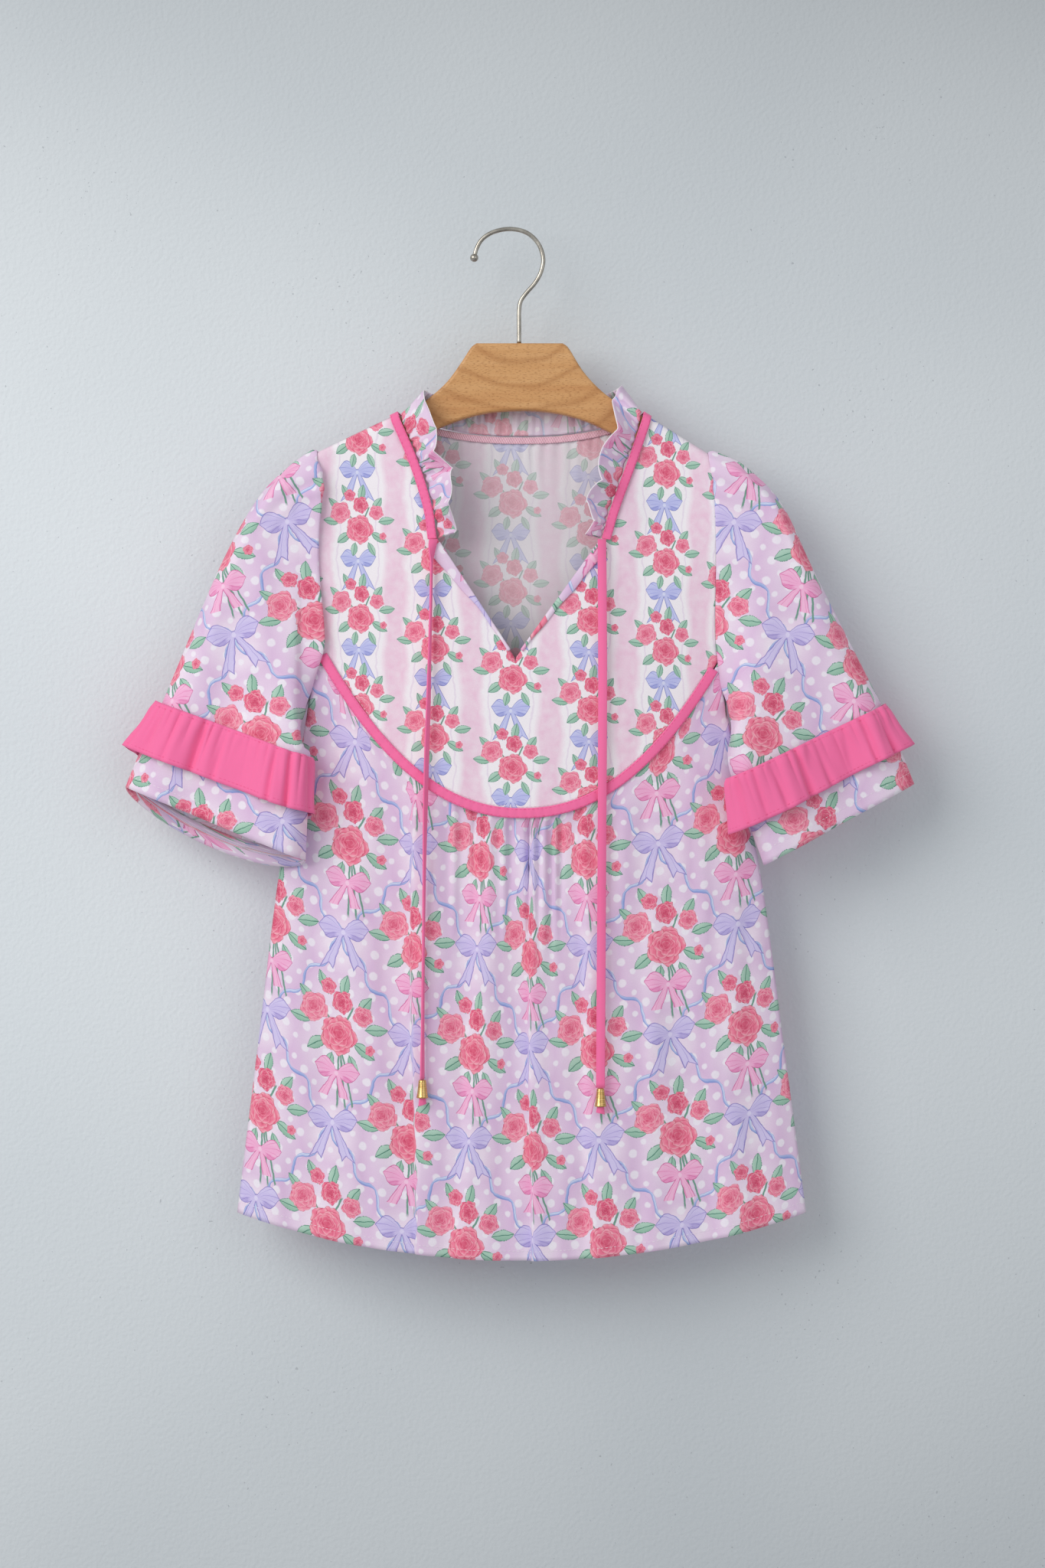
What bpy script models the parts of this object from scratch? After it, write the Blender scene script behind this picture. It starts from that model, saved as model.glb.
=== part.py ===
"""Ruffle blouse on a wooden hanger, held up by the hanger's hook.

The origin is the point under the top of the hook's arc, where a rail carries it. The front faces
-Y and +Z is up. Sizes are in millimetres, and MM turns them into metres when a mesh is made.
"""
import math
from collections import namedtuple

import bmesh
import bpy
from mathutils import Vector

MM = 0.001

# Cloth: the wall of every piece, the step back from a seam line, the step of a front or back panel
# from the middle plane at its side and shoulder seams, and the step out to a piece on top
WALL = 1.2
SEAM = 0.35
SIDE_STEP = 0.8
LAP = 1.6
CAP_LAP = 1.9
BINDING_LAP = 2.0
RUFFLE_LAP = 2.2

# The blouse measured as it hangs: a row for each height, from the shoulders to the hem
Section = namedtuple("Section", "height left right front back")
BODY = (
    Section(-140, -154.0, 157.0, 11.5, 11.0),
    Section(-176, -154.0, 157.0, 13.0, 12.0),
    Section(-200, -156.0, 162.0, 14.5, 12.5),
    Section(-257, -155.0, 163.5, 17.5, 13.5),
    Section(-324, -154.0, 163.5, 20.0, 14.0),
    Section(-377, -160.0, 170.0, 23.0, 16.0),
    Section(-430, -169.0, 181.0, 24.0, 17.0),
    Section(-510, -183.0, 197.4, 25.0, 18.0),
    Section(-640, -199.0, 215.0, 27.0, 19.0),
    Section(-774, -215.6, 232.8, 29.0, 20.0),
    Section(-812, -220.0, 237.0, 29.5, 20.0),
)
UNDERARM = -377.0
ARMHOLE_TOP = -176.0
SHOULDER_ROLL = 4.0
FLATNESS = 2.2
EDGE_TURN = 1 / 1.6
SHOULDER_DEPTH = 8.8
ARMHOLE_DEPTH = 12.0

# Shoulder seams, neck edge and slit
NECK_TOP = -144.5
NECK_LEFT = -89.0
NECK_RIGHT = 105.0
LEFT_SHOULDER_SLOPE = 0.477
RIGHT_SHOULDER_SLOPE = 0.625
BACK_NECK_DROP = 17.0
NeckRow = namedtuple("NeckRow", "height left right")
NECK = (
    NeckRow(-144.5, -89.0, 105.0),
    NeckRow(-182.0, -73.0, 92.0),
    NeckRow(-219.0, -61.5, 78.5),
    NeckRow(-243.6, -58.0, 71.4),
)
SLIT_TOP = -243.6
SLIT_POINT = -337.8
SLIT_X = 3.6

# Yoke seam: a flat U at the front and a straight seam at the back
YOKE_LOW = -459.0
YOKE_CENTRE = 9.0
YOKE_RISE = 0.00183
YOKE_POWER = 2.2
BACK_SEAM = -345.0
BAND_WIDTH = 7.8
BINDING_WIDTH = 7.0

# Hem: lowest at the middle, higher at the side seams
HEM_LOW = -809.4
HEM_RISE = 35.4
BACK_HEM_LIFT = 3.0

# Gathers under the yoke, and the long folds that run down from them, pushed into the hollow
Gather = namedtuple("Gather", "face centre width waves depth reach")
GATHERS = (
    Gather(-1, 1.0, 124.0, 10, 2.6, 0.34),
    Gather(1, 8.0, 110.0, 7, 1.8, 0.30),
)
Fold = namedtuple("Fold", "face top_x hem_x top_depth hem_depth steep gentle")
FOLDS = (
    Fold(-1, 14.0, 14.0, 4.0, 5.0, 3.5, 24.0),
    Fold(-1, -80.0, -73.0, 1.2, 4.2, 4.0, 26.0),
    Fold(-1, -27.0, -46.0, 3.0, 1.5, 9.0, 18.0),
    Fold(-1, 49.0, 58.0, 2.4, 2.5, 8.0, 16.0),
    Fold(-1, 120.0, 150.0, 0.5, 3.5, 16.0, 20.0),
    Fold(-1, -130.0, -165.0, 0.5, 3.0, 16.0, 18.0),
    Fold(1, -38.0, -60.0, 2.0, 4.0, 12.0, 22.0),
    Fold(1, 16.0, 22.0, 2.5, 4.5, 10.0, 24.0),
    Fold(1, 70.0, 104.0, 1.5, 3.5, 14.0, 22.0),
)

# Sleeves: a row for each ring, from the armhole (0) past the ruffle seam (0.7) to the hem (1)
Ring = namedtuple("Ring", "down outer_x outer_z inner_x inner_z bow front back forward droop")
SLEEVES = {
    "left": (
        Ring(0.00, -154.0, -176.0, -160.0, -377.0, 1.0, 12.0, 12.0, 0.0, 0.0),
        Ring(0.12, -172.0, -187.0, -165.0, -388.0, 4.0, 16.0, 13.0, 3.0, 0.0),
        Ring(0.30, -199.0, -212.0, -165.0, -399.0, 8.0, 19.0, 13.0, 9.5, 0.0),
        Ring(0.50, -229.0, -265.0, -162.0, -409.0, 5.0, 20.0, 12.0, 16.5, 0.0),
        Ring(0.70, -274.8, -372.6, -158.0, -416.0, 2.0, 20.0, 11.0, 22.0, 3.0),
        Ring(0.85, -291.0, -408.0, -160.0, -455.0, 0.0, 20.0, 11.0, 22.0, 12.0),
        Ring(1.00, -303.6, -438.6, -162.6, -495.6, 0.0, 20.0, 10.0, 21.0, 21.0),
    ),
    "right": (
        Ring(0.00, 157.0, -177.0, 170.0, -377.0, 1.0, 12.0, 12.0, 0.0, 0.0),
        Ring(0.12, 182.0, -187.0, 174.5, -388.0, 2.0, 16.0, 13.0, 3.0, 0.0),
        Ring(0.30, 213.0, -216.0, 174.0, -400.0, 2.0, 19.0, 13.0, 10.0, 0.0),
        Ring(0.50, 240.0, -271.0, 171.0, -413.0, 1.0, 20.0, 12.0, 17.0, 0.0),
        Ring(0.70, 292.2, -374.4, 173.5, -430.8, 0.0, 20.0, 11.0, 21.0, 0.0),
        Ring(0.85, 306.0, -406.0, 186.0, -466.0, 0.0, 20.0, 11.0, 19.0, -2.0),
        Ring(1.00, 318.0, -436.2, 197.4, -500.4, 0.0, 20.0, 10.0, 15.0, -5.0),
    ),
}
RUFFLE_SEAM = 0.70
RUFFLE_END = 0.866
RUFFLE_WAVES = 22
RUFFLE_WAVE_AT_SEAM = 0.8
RUFFLE_WAVE_AT_HEM = 3.4
RUFFLE_FLARE = 2.2
RUFFLE_OUTER_FLARE = 5.5
RUFFLE_INNER_FLARE = {"left": 2.2, "right": 13.0}
CAP_GATHERS = 7
CAP_SPAN = 0.17
CAP_DEPTH = 2.4
CAP_REACH = 0.16

# Neck ruffle
NECK_WAVES = 30
NECK_WAVE_AT_SEAM = 0.5
NECK_WAVE_AT_EDGE = 3.0
NECK_HEIGHT = 26.0
NECK_LEAN_IN = 0.66
NECK_LEAN_OUT = 0.7
FRONT_SHARE = 0.3

# Facings that are turned out along the slit
FACING_WIDTH = {"left": 10.0, "right": 8.0}
FACING_END_WIDTH = 2.4

# Ties: height and sideways place of each, from the end of the binding to the tip
TiePoint = namedtuple("TiePoint", "height left right")
TIES = (
    TiePoint(-244.2, -60.6, 71.6),
    TiePoint(-256.0, -61.8, 71.6),
    TiePoint(-290.0, -62.4, 71.8),
    TiePoint(-360.0, -64.0, 72.0),
    TiePoint(-450.0, -66.6, 71.6),
    TiePoint(-550.0, -68.0, 71.0),
    TiePoint(-640.0, -68.8, 70.4),
    TiePoint(-674.0, -69.0, 70.2),
)
TIE_RADIUS = 2.3
TIE_STEP = 12.0
TIE_START = 5.0
TIE_STANDOFF = 6.2
TIP_TOP = {"left": -667.2, "right": -673.8}
TIP_LENGTH = 14.4
TIP_RADIUS = 4.6
TAIL_LENGTH = 5.4
TAIL_WIDTH = 5.6
TAIL_DEPTH = 3.0

# Hanger: a flat board with a bent wire hook
BOARD = 12.0
BOARD_EDGE = 2.0
WIRE = 3.5
BALL = 6.6
HangerPoint = namedtuple("HangerPoint", "x z")
HANGER = (
    HangerPoint(-27.0, -88.8), HangerPoint(41.0, -88.8), HangerPoint(46.0, -93.0),
    HangerPoint(56.5, -110.0), HangerPoint(69.0, -124.0), HangerPoint(83.0, -134.8),
    HangerPoint(106.0, -147.8), HangerPoint(130.0, -162.8), HangerPoint(154.0, -177.2),
    HangerPoint(163.0, -183.6), HangerPoint(169.0, -191.0), HangerPoint(171.0, -199.0),
    HangerPoint(168.0, -206.5), HangerPoint(161.0, -209.0), HangerPoint(153.0, -206.8),
    HangerPoint(125.0, -188.0), HangerPoint(100.0, -171.0), HangerPoint(74.0, -156.8),
    HangerPoint(58.0, -149.8), HangerPoint(40.0, -144.8), HangerPoint(20.0, -142.2),
    HangerPoint(2.0, -142.0), HangerPoint(-16.0, -143.4), HangerPoint(-32.0, -146.8),
    HangerPoint(-48.0, -152.2), HangerPoint(-64.5, -159.2), HangerPoint(-100.0, -176.5),
    HangerPoint(-142.0, -199.2), HangerPoint(-150.0, -202.0), HangerPoint(-158.0, -200.2),
    HangerPoint(-162.0, -194.0), HangerPoint(-160.4, -186.0), HangerPoint(-154.0, -179.0),
    HangerPoint(-146.0, -173.4), HangerPoint(-118.0, -161.0), HangerPoint(-92.0, -149.4),
    HangerPoint(-80.0, -143.6), HangerPoint(-64.0, -131.8), HangerPoint(-50.0, -119.0),
    HangerPoint(-39.0, -104.0), HangerPoint(-31.5, -92.5),
)
HOOK = (
    HangerPoint(-28.8, -21.0), HangerPoint(-27.0, -13.8), HangerPoint(-22.2, -6.0),
    HangerPoint(-13.0, -0.4), HangerPoint(0.0, 1.75), HangerPoint(12.6, -1.2),
    HangerPoint(21.6, -9.6), HangerPoint(25.6, -21.0), HangerPoint(24.0, -31.8),
    HangerPoint(19.2, -40.8), HangerPoint(12.6, -48.4), HangerPoint(7.9, -55.2),
    HangerPoint(6.6, -63.0), HangerPoint(6.6, -76.0), HangerPoint(6.6, -88.5),
)

PRINT_GROUND = (0.80, 0.66, 0.84)
YOKE_GROUND = (0.91, 0.87, 0.91)
TRIM_PINK = (0.93, 0.10, 0.30)
BEECH = (0.62, 0.34, 0.13)
NICKEL = (0.42, 0.39, 0.35)
GOLD = (0.60, 0.38, 0.12)


def clear_scene():
    """Remove whatever the scene holds."""
    for old in list(bpy.data.objects):
        bpy.data.objects.remove(old, do_unlink=True)


def mix(low, high, share):
    """Value a share of the way from one to the other."""
    return low + (high - low) * share


def ease(share):
    """Smooth step from 0 to 1."""
    share = min(1.0, max(0.0, share))
    return share * share * (3 - 2 * share)


def roll(share):
    """Quarter circle from 0 to 1, the profile of cloth that turns over an edge."""
    share = min(1.0, max(0.0, share))
    return math.sqrt(1 - (1 - share) ** 2)


def along(rows, name, at):
    """Smooth value of one column of a table, where its first column has the value at."""
    keys = [row[0] for row in rows]
    values = [getattr(row, name) for row in rows]
    if keys[0] > keys[-1]:
        keys.reverse()
        values.reverse()
    at = min(keys[-1], max(keys[0], at))
    last = len(keys) - 1
    slot = next(i for i in range(last) if at <= keys[i + 1])

    def slope(i):
        low, high = max(0, i - 1), min(last, i + 1)
        return (values[high] - values[low]) / (keys[high] - keys[low])

    step = keys[slot + 1] - keys[slot]
    s = (at - keys[slot]) / step
    rise = values[slot + 1] - values[slot]
    start, end = slope(slot) * step, slope(slot + 1) * step
    curve = start * s + (3 * rise - 2 * start - end) * s**2 + (start + end - 2 * rise) * s**3
    return values[slot] + curve


def ridge(x):
    """Height of the shoulder line, which the hanger's arms follow on across the neck."""
    rise = min((x - NECK_LEFT) * LEFT_SHOULDER_SLOPE, (NECK_RIGHT - x) * RIGHT_SHOULDER_SLOPE)
    return NECK_TOP + rise


def armhole_share(z):
    """How far down the armhole a height is, from 0 at the shoulder to 1 at the underarm."""
    return min(1.0, max(0.0, (ARMHOLE_TOP - z) / (ARMHOLE_TOP - UNDERARM)))


def body_point(x, z, face, lift=0.0):
    """Point of the smooth body, moved out by lift. The face is -1 at the front and 1 at the back."""
    left, right = along(BODY, "left", z), along(BODY, "right", z)
    across = min(1.0, abs(x - (left + right) / 2) / ((right - left) / 2))
    down = armhole_share(z)
    edge = mix(SHOULDER_DEPTH, ARMHOLE_DEPTH, min(1.0, down / 0.4)) * math.sqrt(1 - down**2)
    full = along(BODY, "front" if face < 0 else "back", z)
    depth = full * (1 - across**FLATNESS) ** EDGE_TURN + edge * across**8
    drop = min(1.0, max(0.0, (ridge(x) - z) / SHOULDER_ROLL))
    turned = roll(drop)
    out = Vector((turned / max(depth, 1.0), (1 - drop) / SHOULDER_ROLL)).normalized() * lift
    depth = max(SIDE_STEP, depth * turned + out.x)
    return Vector((x, face * depth, z + out.y))


def neck_edge(z, side):
    """Sideways place of the neck edge, the slit below it and the middle line below that."""
    if z >= SLIT_TOP:
        return along(NECK, side, z)
    if z <= SLIT_POINT:
        return SLIT_X
    return mix(getattr(NECK[-1], side), SLIT_X, (SLIT_TOP - z) / (SLIT_TOP - SLIT_POINT))


def yoke_seam(x):
    """Height of the front yoke seam."""
    return YOKE_LOW + YOKE_RISE * abs(x - YOKE_CENTRE) ** YOKE_POWER


def yoke_slope(x):
    """Slope of the front yoke seam."""
    reach = abs(x - YOKE_CENTRE)
    return math.copysign(YOKE_RISE * YOKE_POWER * reach ** (YOKE_POWER - 1), x - YOKE_CENTRE)


def seam_meets_armhole(side, face):
    """Point where the yoke seam of a face meets the armhole."""
    z = BACK_SEAM
    for _ in range(12):
        x = along(BODY, side, z)
        z = yoke_seam(x) if face < 0 else BACK_SEAM
    return x, z


def coons(top, bottom, left, right, u, v):
    """Flat point of a four-sided patch, from its four edges."""
    corners = (
        ((1 - u) * (1 - v), top(0)), (u * (1 - v), top(1)),
        ((1 - u) * v, bottom(0)), (u * v, bottom(1)),
    )
    point = []
    for axis in (0, 1):
        value = (1 - v) * top(u)[axis] + v * bottom(u)[axis]
        value += (1 - u) * left(v)[axis] + u * right(v)[axis]
        value -= sum(weight * corner[axis] for weight, corner in corners)
        point.append(value)
    return point


def spread(low, high, count):
    """Even steps from low to high, both ends included."""
    return [mix(low, high, i / count) for i in range(count + 1)]


def add_grid(mesh, columns, rows, point):
    """Add a grid of cloth to a mesh: point(u, v) places each crossing of its columns and rows."""
    made = bmesh.ops.create_grid(mesh, x_segments=len(columns) - 1, y_segments=len(rows) - 1, size=1)
    for vert in made["verts"]:
        i = round((vert.co.x + 1) / 2 * (len(columns) - 1))
        j = round((vert.co.y + 1) / 2 * (len(rows) - 1))
        vert.co = Vector(point(columns[i], rows[j])) * MM


def finish(name, mesh, colour, roughness=0.8, metallic=0.0, wall=0.0):
    """Turn a mesh into a named object of the blouse with its own material."""
    data = bpy.data.meshes.new(name)
    mesh.to_mesh(data)
    mesh.free()
    data.shade_smooth()
    made = bpy.data.objects.new(name, data)
    PARTS.objects.link(made)
    paint(made, colour, roughness, metallic)
    if wall:
        thicken = made.modifiers.new("wall", "SOLIDIFY")
        thicken.thickness = wall * MM
        thicken.offset = 0
    return made


def paint(made, colour, roughness, metallic):
    """Give an object its own plain material."""
    material = bpy.data.materials.new(made.name)
    material.use_nodes = True
    shader = material.node_tree.nodes["Principled BSDF"]
    shader.inputs["Base Color"].default_value = (*colour, 1)
    shader.inputs["Roughness"].default_value = roughness
    shader.inputs["Metallic"].default_value = metallic
    made.data.materials.append(material)


def cloth(name, columns, rows, point, colour, wall=WALL, closed=False):
    """A cloth piece from one grid. A closed one has its first and last columns sewn together."""
    mesh = bmesh.new()
    add_grid(mesh, columns, rows, point)
    if closed:
        bmesh.ops.remove_doubles(mesh, verts=mesh.verts, dist=1e-6)
    return finish(name, mesh, colour, wall=wall)


def lifted(point, u, v, height, step=0.002):
    """Point of a surface moved out along its normal."""
    low, high = max(0.0, v - step), min(1.0, v + step)
    normal = (point(u + step, v) - point(u - step, v)).cross(point(u, high) - point(u, low))
    return point(u, v) + normal.normalized() * height


def front_yoke():
    """Two halves that meet on the middle line below the slit."""
    slit_row = (NECK_TOP - SLIT_POINT) / (NECK_TOP - yoke_seam(SLIT_X))
    slit_top_row = (NECK_TOP - SLIT_TOP) / (NECK_TOP - yoke_seam(SLIT_X))
    rows = [0.0, 0.004, 0.012, 0.03, 0.09, 0.16, 0.23, slit_top_row, 0.42, 0.52, slit_row]
    rows += [0.72, 0.82, 0.91, 1.0]
    mesh = bmesh.new()
    for side in ("left", "right"):
        inward = 1 if side == "left" else -1
        tip_x, tip_z = seam_meets_armhole(side, -1)
        shoulder_x = getattr(BODY[1], side) + inward * SEAM
        neck_x = NECK_LEFT if side == "left" else NECK_RIGHT

        def top(u):
            x = mix(shoulder_x, neck_x, u)
            return x, ridge(x)

        def bottom(u):
            x = mix(tip_x + inward * SEAM, SLIT_X, u)
            return x, yoke_seam(x) + SEAM * math.hypot(1, yoke_slope(x))

        def armhole(v):
            z = mix(top(0)[1], bottom(0)[1], v)
            return along(BODY, side, z) + inward * SEAM, z

        def inner(v):
            z = mix(NECK_TOP, bottom(1)[1], v)
            return neck_edge(z, side), z

        def point(u, v):
            x, z = coons(top, bottom, armhole, inner, u, v)
            return body_point(x, z, -1)

        columns = spread(0, 1, 10)
        if side == "right":
            add_grid(mesh, columns, rows, lambda u, v: point(1 - u, v))
        else:
            add_grid(mesh, columns, rows, point)
    bmesh.ops.remove_doubles(mesh, verts=mesh.verts, dist=1e-6)
    finish("front_yoke", mesh, YOKE_GROUND, wall=WALL)


def back_neck(x):
    """Height of the back neck edge."""
    middle, half = (NECK_LEFT + NECK_RIGHT) / 2, (NECK_RIGHT - NECK_LEFT) / 2
    return NECK_TOP - BACK_NECK_DROP * (1 - min(1, abs(x - middle) / half) ** 2.4)


def back_yoke():
    """One piece from the shoulder seams to the straight back seam."""
    left_x, right_x = BODY[1].left + SEAM, BODY[1].right - SEAM

    def top(u):
        x = mix(left_x, right_x, u)
        return x, back_neck(x) if NECK_LEFT < x < NECK_RIGHT else ridge(x)

    def bottom(u):
        left, right = along(BODY, "left", BACK_SEAM), along(BODY, "right", BACK_SEAM)
        return mix(left + SEAM, right - SEAM, u), BACK_SEAM + SEAM

    def left_edge(v):
        z = mix(top(0)[1], BACK_SEAM + SEAM, v)
        return along(BODY, "left", z) + SEAM, z

    def right_edge(v):
        z = mix(top(1)[1], BACK_SEAM + SEAM, v)
        return along(BODY, "right", z) - SEAM, z

    def point(u, v):
        x, z = coons(top, bottom, left_edge, right_edge, u, v)
        return body_point(x, z, 1)

    neck_left = (NECK_LEFT - left_x) / (right_x - left_x)
    neck_right = (NECK_RIGHT - left_x) / (right_x - left_x)
    near = [0.0, 0.006, 0.014, 0.03]
    columns = spread(0, neck_left, 4)[:-1] + [neck_left + step for step in near]
    columns += spread(neck_left + 0.06, neck_right - 0.06, 7)
    columns += [neck_right - step for step in reversed(near)] + spread(neck_right, 1, 4)[1:]
    rows = [0.0, 0.007, 0.02, 0.05, 0.2, 0.4, 0.6, 0.8, 1.0]
    cloth("back_yoke", list(reversed(columns)), rows, point, YOKE_GROUND)


def fold_depth(face, x, down):
    """How far the gathers and folds push the cloth in at a place, down being 0 to 1."""
    push = 0.0
    for gather in GATHERS:
        if gather.face != face:
            continue
        share = (x - gather.centre) / gather.width + 0.5
        if 0 < share < 1:
            rise = 0.3 + 0.7 * ease(down / 0.035)
            fade = rise * (1 - ease(down / gather.reach))
            window = math.sin(math.pi * share) ** 0.5
            push += gather.depth * fade * window * (1 - math.cos(2 * math.pi * gather.waves * share)) / 2
    for fold in FOLDS:
        if fold.face != face:
            continue
        offset = x - mix(fold.top_x, fold.hem_x, down)
        width = fold.steep if offset > 0 else fold.gentle
        depth = mix(fold.top_depth, fold.hem_depth, down) * (0.25 + 0.75 * ease(down / 0.06))
        push += depth * math.exp(-((offset / width) ** 2))
    return push


def lower_panel(name, face, columns, rows):
    """Body panel from the yoke seam and the armholes down to the hem."""
    joint = {side: seam_meets_armhole(side, face) for side in ("left", "right")}

    def top(u):
        x = mix(joint["left"][0] + SEAM, joint["right"][0] - SEAM, u)
        if face > 0:
            return x, BACK_SEAM - SEAM
        return x, yoke_seam(x) - SEAM * math.hypot(1, yoke_slope(x))

    def bottom(u):
        across = 2 * u - 1
        z = HEM_LOW + HEM_RISE * across**2 + (BACK_HEM_LIFT if face > 0 else 0)
        left, right = along(BODY, "left", z), along(BODY, "right", z)
        return mix(left, right, u), z

    def left_side(v):
        z = mix(top(0)[1], bottom(0)[1], v)
        return along(BODY, "left", z) + SEAM * (1 - armhole_share(z)), z

    def right_side(v):
        z = mix(top(1)[1], bottom(1)[1], v)
        return along(BODY, "right", z) - SEAM * (1 - armhole_share(z)), z

    def point(u, v):
        x, z = coons(top, bottom, left_side, right_side, u, v)
        place = body_point(x, z, face)
        room = min(1.0, abs(place.y) / 12)
        place.y -= face * fold_depth(face, x, v) * room
        return place

    if face > 0:
        columns = list(reversed(columns))
    cloth(name, columns, rows, point, PRINT_GROUND)


def front_columns():
    """Columns of the front body: close together where it is gathered."""
    gathered = spread(0.34, 0.63, 40)
    sides = [0.0, 0.02, 0.055, 0.1, 0.16, 0.22, 0.28]
    return sides + gathered + [0.69, 0.75, 0.81, 0.87, 0.93, 0.98, 1.0]


def back_columns():
    """Columns of the back body: close together where it is gathered."""
    gathered = spread(0.33, 0.67, 21)
    sides = [0.0, 0.02, 0.055, 0.1, 0.16, 0.22, 0.28]
    return sides + gathered + [0.72, 0.78, 0.84, 0.9, 0.945, 0.98, 1.0]


def sleeve_point(side, around, down):
    """Point of the plain sleeve. Around is 0 at the outer fold, 0.5 at the inner one, front first."""
    around %= 1.0
    rows = SLEEVES[side]
    out = -1 if side == "left" else 1
    face = -1 if around < 0.5 else 1
    share = (1 - math.cos(2 * math.pi * around)) / 2
    ring = Ring(down, *(along(rows, name, down) for name in Ring._fields[1:]))
    length = math.hypot(ring.outer_x - ring.inner_x, ring.outer_z - ring.inner_z)
    outer_roll = mix(4.0, 30.0, down)
    inner_roll = mix(30.0, 14.0, ease(down / 0.3))
    turned = roll(share * length / outer_roll) * roll((1 - share) * length / inner_roll)
    middle = math.sin(math.pi * share)
    bow = -out * ring.bow * middle if face < 0 else out * ring.bow * 0.4 * middle
    x = mix(ring.outer_x, ring.inner_x, share) + bow
    y = face * (ring.front if face < 0 else ring.back) * turned
    y -= ring.forward * ease((share - 0.3) / 0.6)
    z = mix(ring.outer_z, ring.inner_z, share) - (ring.droop * math.sqrt(middle) if face > 0 else 0)
    free = Vector((x, y, z))
    sewn = ease(down / 0.12)
    if sewn == 1:
        return free
    top = ridge(getattr(BODY[1], side))
    height = mix(top, UNDERARM, share)
    seam_x = along(BODY, side, height)
    at_seam = body_point(seam_x, height, face, CAP_LAP)
    at_seam.x += out * (SEAM + LAP * ease((share - 0.9) / 0.1))
    at_seam.y *= ease((1 - share) / 0.02)
    return at_seam.lerp(free, sewn)


def gathered_sleeve(side, around, down):
    """Point of the sleeve with the small gathers round its head."""
    around %= 1.0
    reach = min(around, 1 - around)
    signed = around if around < 0.5 else around - 1
    outward = -1 if side == "left" else 1
    height = 0.0
    if reach < CAP_SPAN:
        window = math.cos(math.pi / 2 * reach / CAP_SPAN)
        fade = ease(down / 0.05) * math.exp(-((down / CAP_REACH) ** 2))
        wave = (1 - math.cos(math.pi * CAP_GATHERS * signed / CAP_SPAN)) / 2
        height = CAP_DEPTH * window * fade * wave
    return lifted(lambda u, v: sleeve_point(side, u, v), around, down, outward * height)


def sleeve_columns(side):
    """Columns round a sleeve: close together at its gathered head."""
    head = spread(0, CAP_SPAN, 14)
    rest = spread(CAP_SPAN, 0.5, 9)[1:]
    half = head + rest
    return half + [1 - u for u in reversed(half[:-1])]


def sleeve(side):
    """A tube from the armhole to the open hem."""
    rows = [0.0, 0.06, 0.12, 0.2, 0.3, 0.42, 0.56, 0.7, 0.85, 1.0]
    columns = sleeve_columns(side)
    if side == "right":
        columns = list(reversed(columns))

    def point(u, v):
        return gathered_sleeve(side, u, v)

    cloth("sleeve_" + side, columns, rows, point, PRINT_GROUND, closed=True)


def sleeve_ruffle(side):
    """A gathered band sewn on at the ruffle seam, which flares as it hangs."""
    outward = -1 if side == "left" else 1

    def point(around, drop):
        down = mix(RUFFLE_SEAM, RUFFLE_END, drop)
        share = (1 - math.cos(2 * math.pi * around)) / 2
        tight = 1.0 if around < 0.5 else mix(1.0, 0.2, ease((share - 0.25) / 0.4))
        at_outer = math.exp(-((min(around, 1 - around) / 0.05) ** 2))
        at_inner = math.exp(-(((around - 0.5) / 0.045) ** 2))
        at_inner *= 1.0 if around < 0.5 else 0.6
        flare = RUFFLE_FLARE * tight + RUFFLE_OUTER_FLARE * at_outer + RUFFLE_INNER_FLARE[side] * at_inner
        wave = tight * (1 - math.cos(2 * math.pi * RUFFLE_WAVES * around)) / 2
        lift = RUFFLE_LAP + drop * flare + wave * mix(RUFFLE_WAVE_AT_SEAM, RUFFLE_WAVE_AT_HEM, drop)
        return lifted(lambda u, v: sleeve_point(side, u, v), around, down, outward * lift)

    columns = spread(0, 1, RUFFLE_WAVES * 4)
    if side == "right":
        columns = list(reversed(columns))
    cloth("sleeve_ruffle_" + side, columns, [0.0, 0.35, 1.0], point, TRIM_PINK, closed=True)


NeckPlace = namedtuple("NeckPlace", "x z away_x away_z face")


def neck_place(at):
    """Place on the neck seam, from the left end of the binding (0) round the back to the right end (1).

    Away is the direction that leads from the neck opening into the cloth.
    """
    side = "left" if at < 0.5 else "right"
    out = -1 if side == "left" else 1
    share = min(at, 1 - at) / FRONT_SHARE
    slope = LEFT_SHOULDER_SLOPE if side == "left" else RIGHT_SHOULDER_SLOPE
    shoulder_away = Vector((out, -slope)).normalized()
    if share < 1:
        z = mix(SLIT_TOP, NECK_TOP, share)
        x = neck_edge(z, side)
        lean = neck_edge(min(NECK_TOP, z + 4), side) - neck_edge(max(SLIT_TOP, z - 4), side)
        front_away = Vector((out, -out * lean / 8)).normalized()
        away = front_away.lerp(shoulder_away, ease((share - 0.8) / 0.2)).normalized()
        return NeckPlace(x, z, away.x, away.y, -1)
    across = (at - FRONT_SHARE) / (1 - 2 * FRONT_SHARE)
    x = mix(NECK_LEFT, NECK_RIGHT, across)
    turn = ease(min(across, 1 - across) / 0.12)
    away = shoulder_away.lerp(Vector((0, -1)), turn).normalized()
    return NeckPlace(x, back_neck(x), away.x, away.y, 1)


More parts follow.
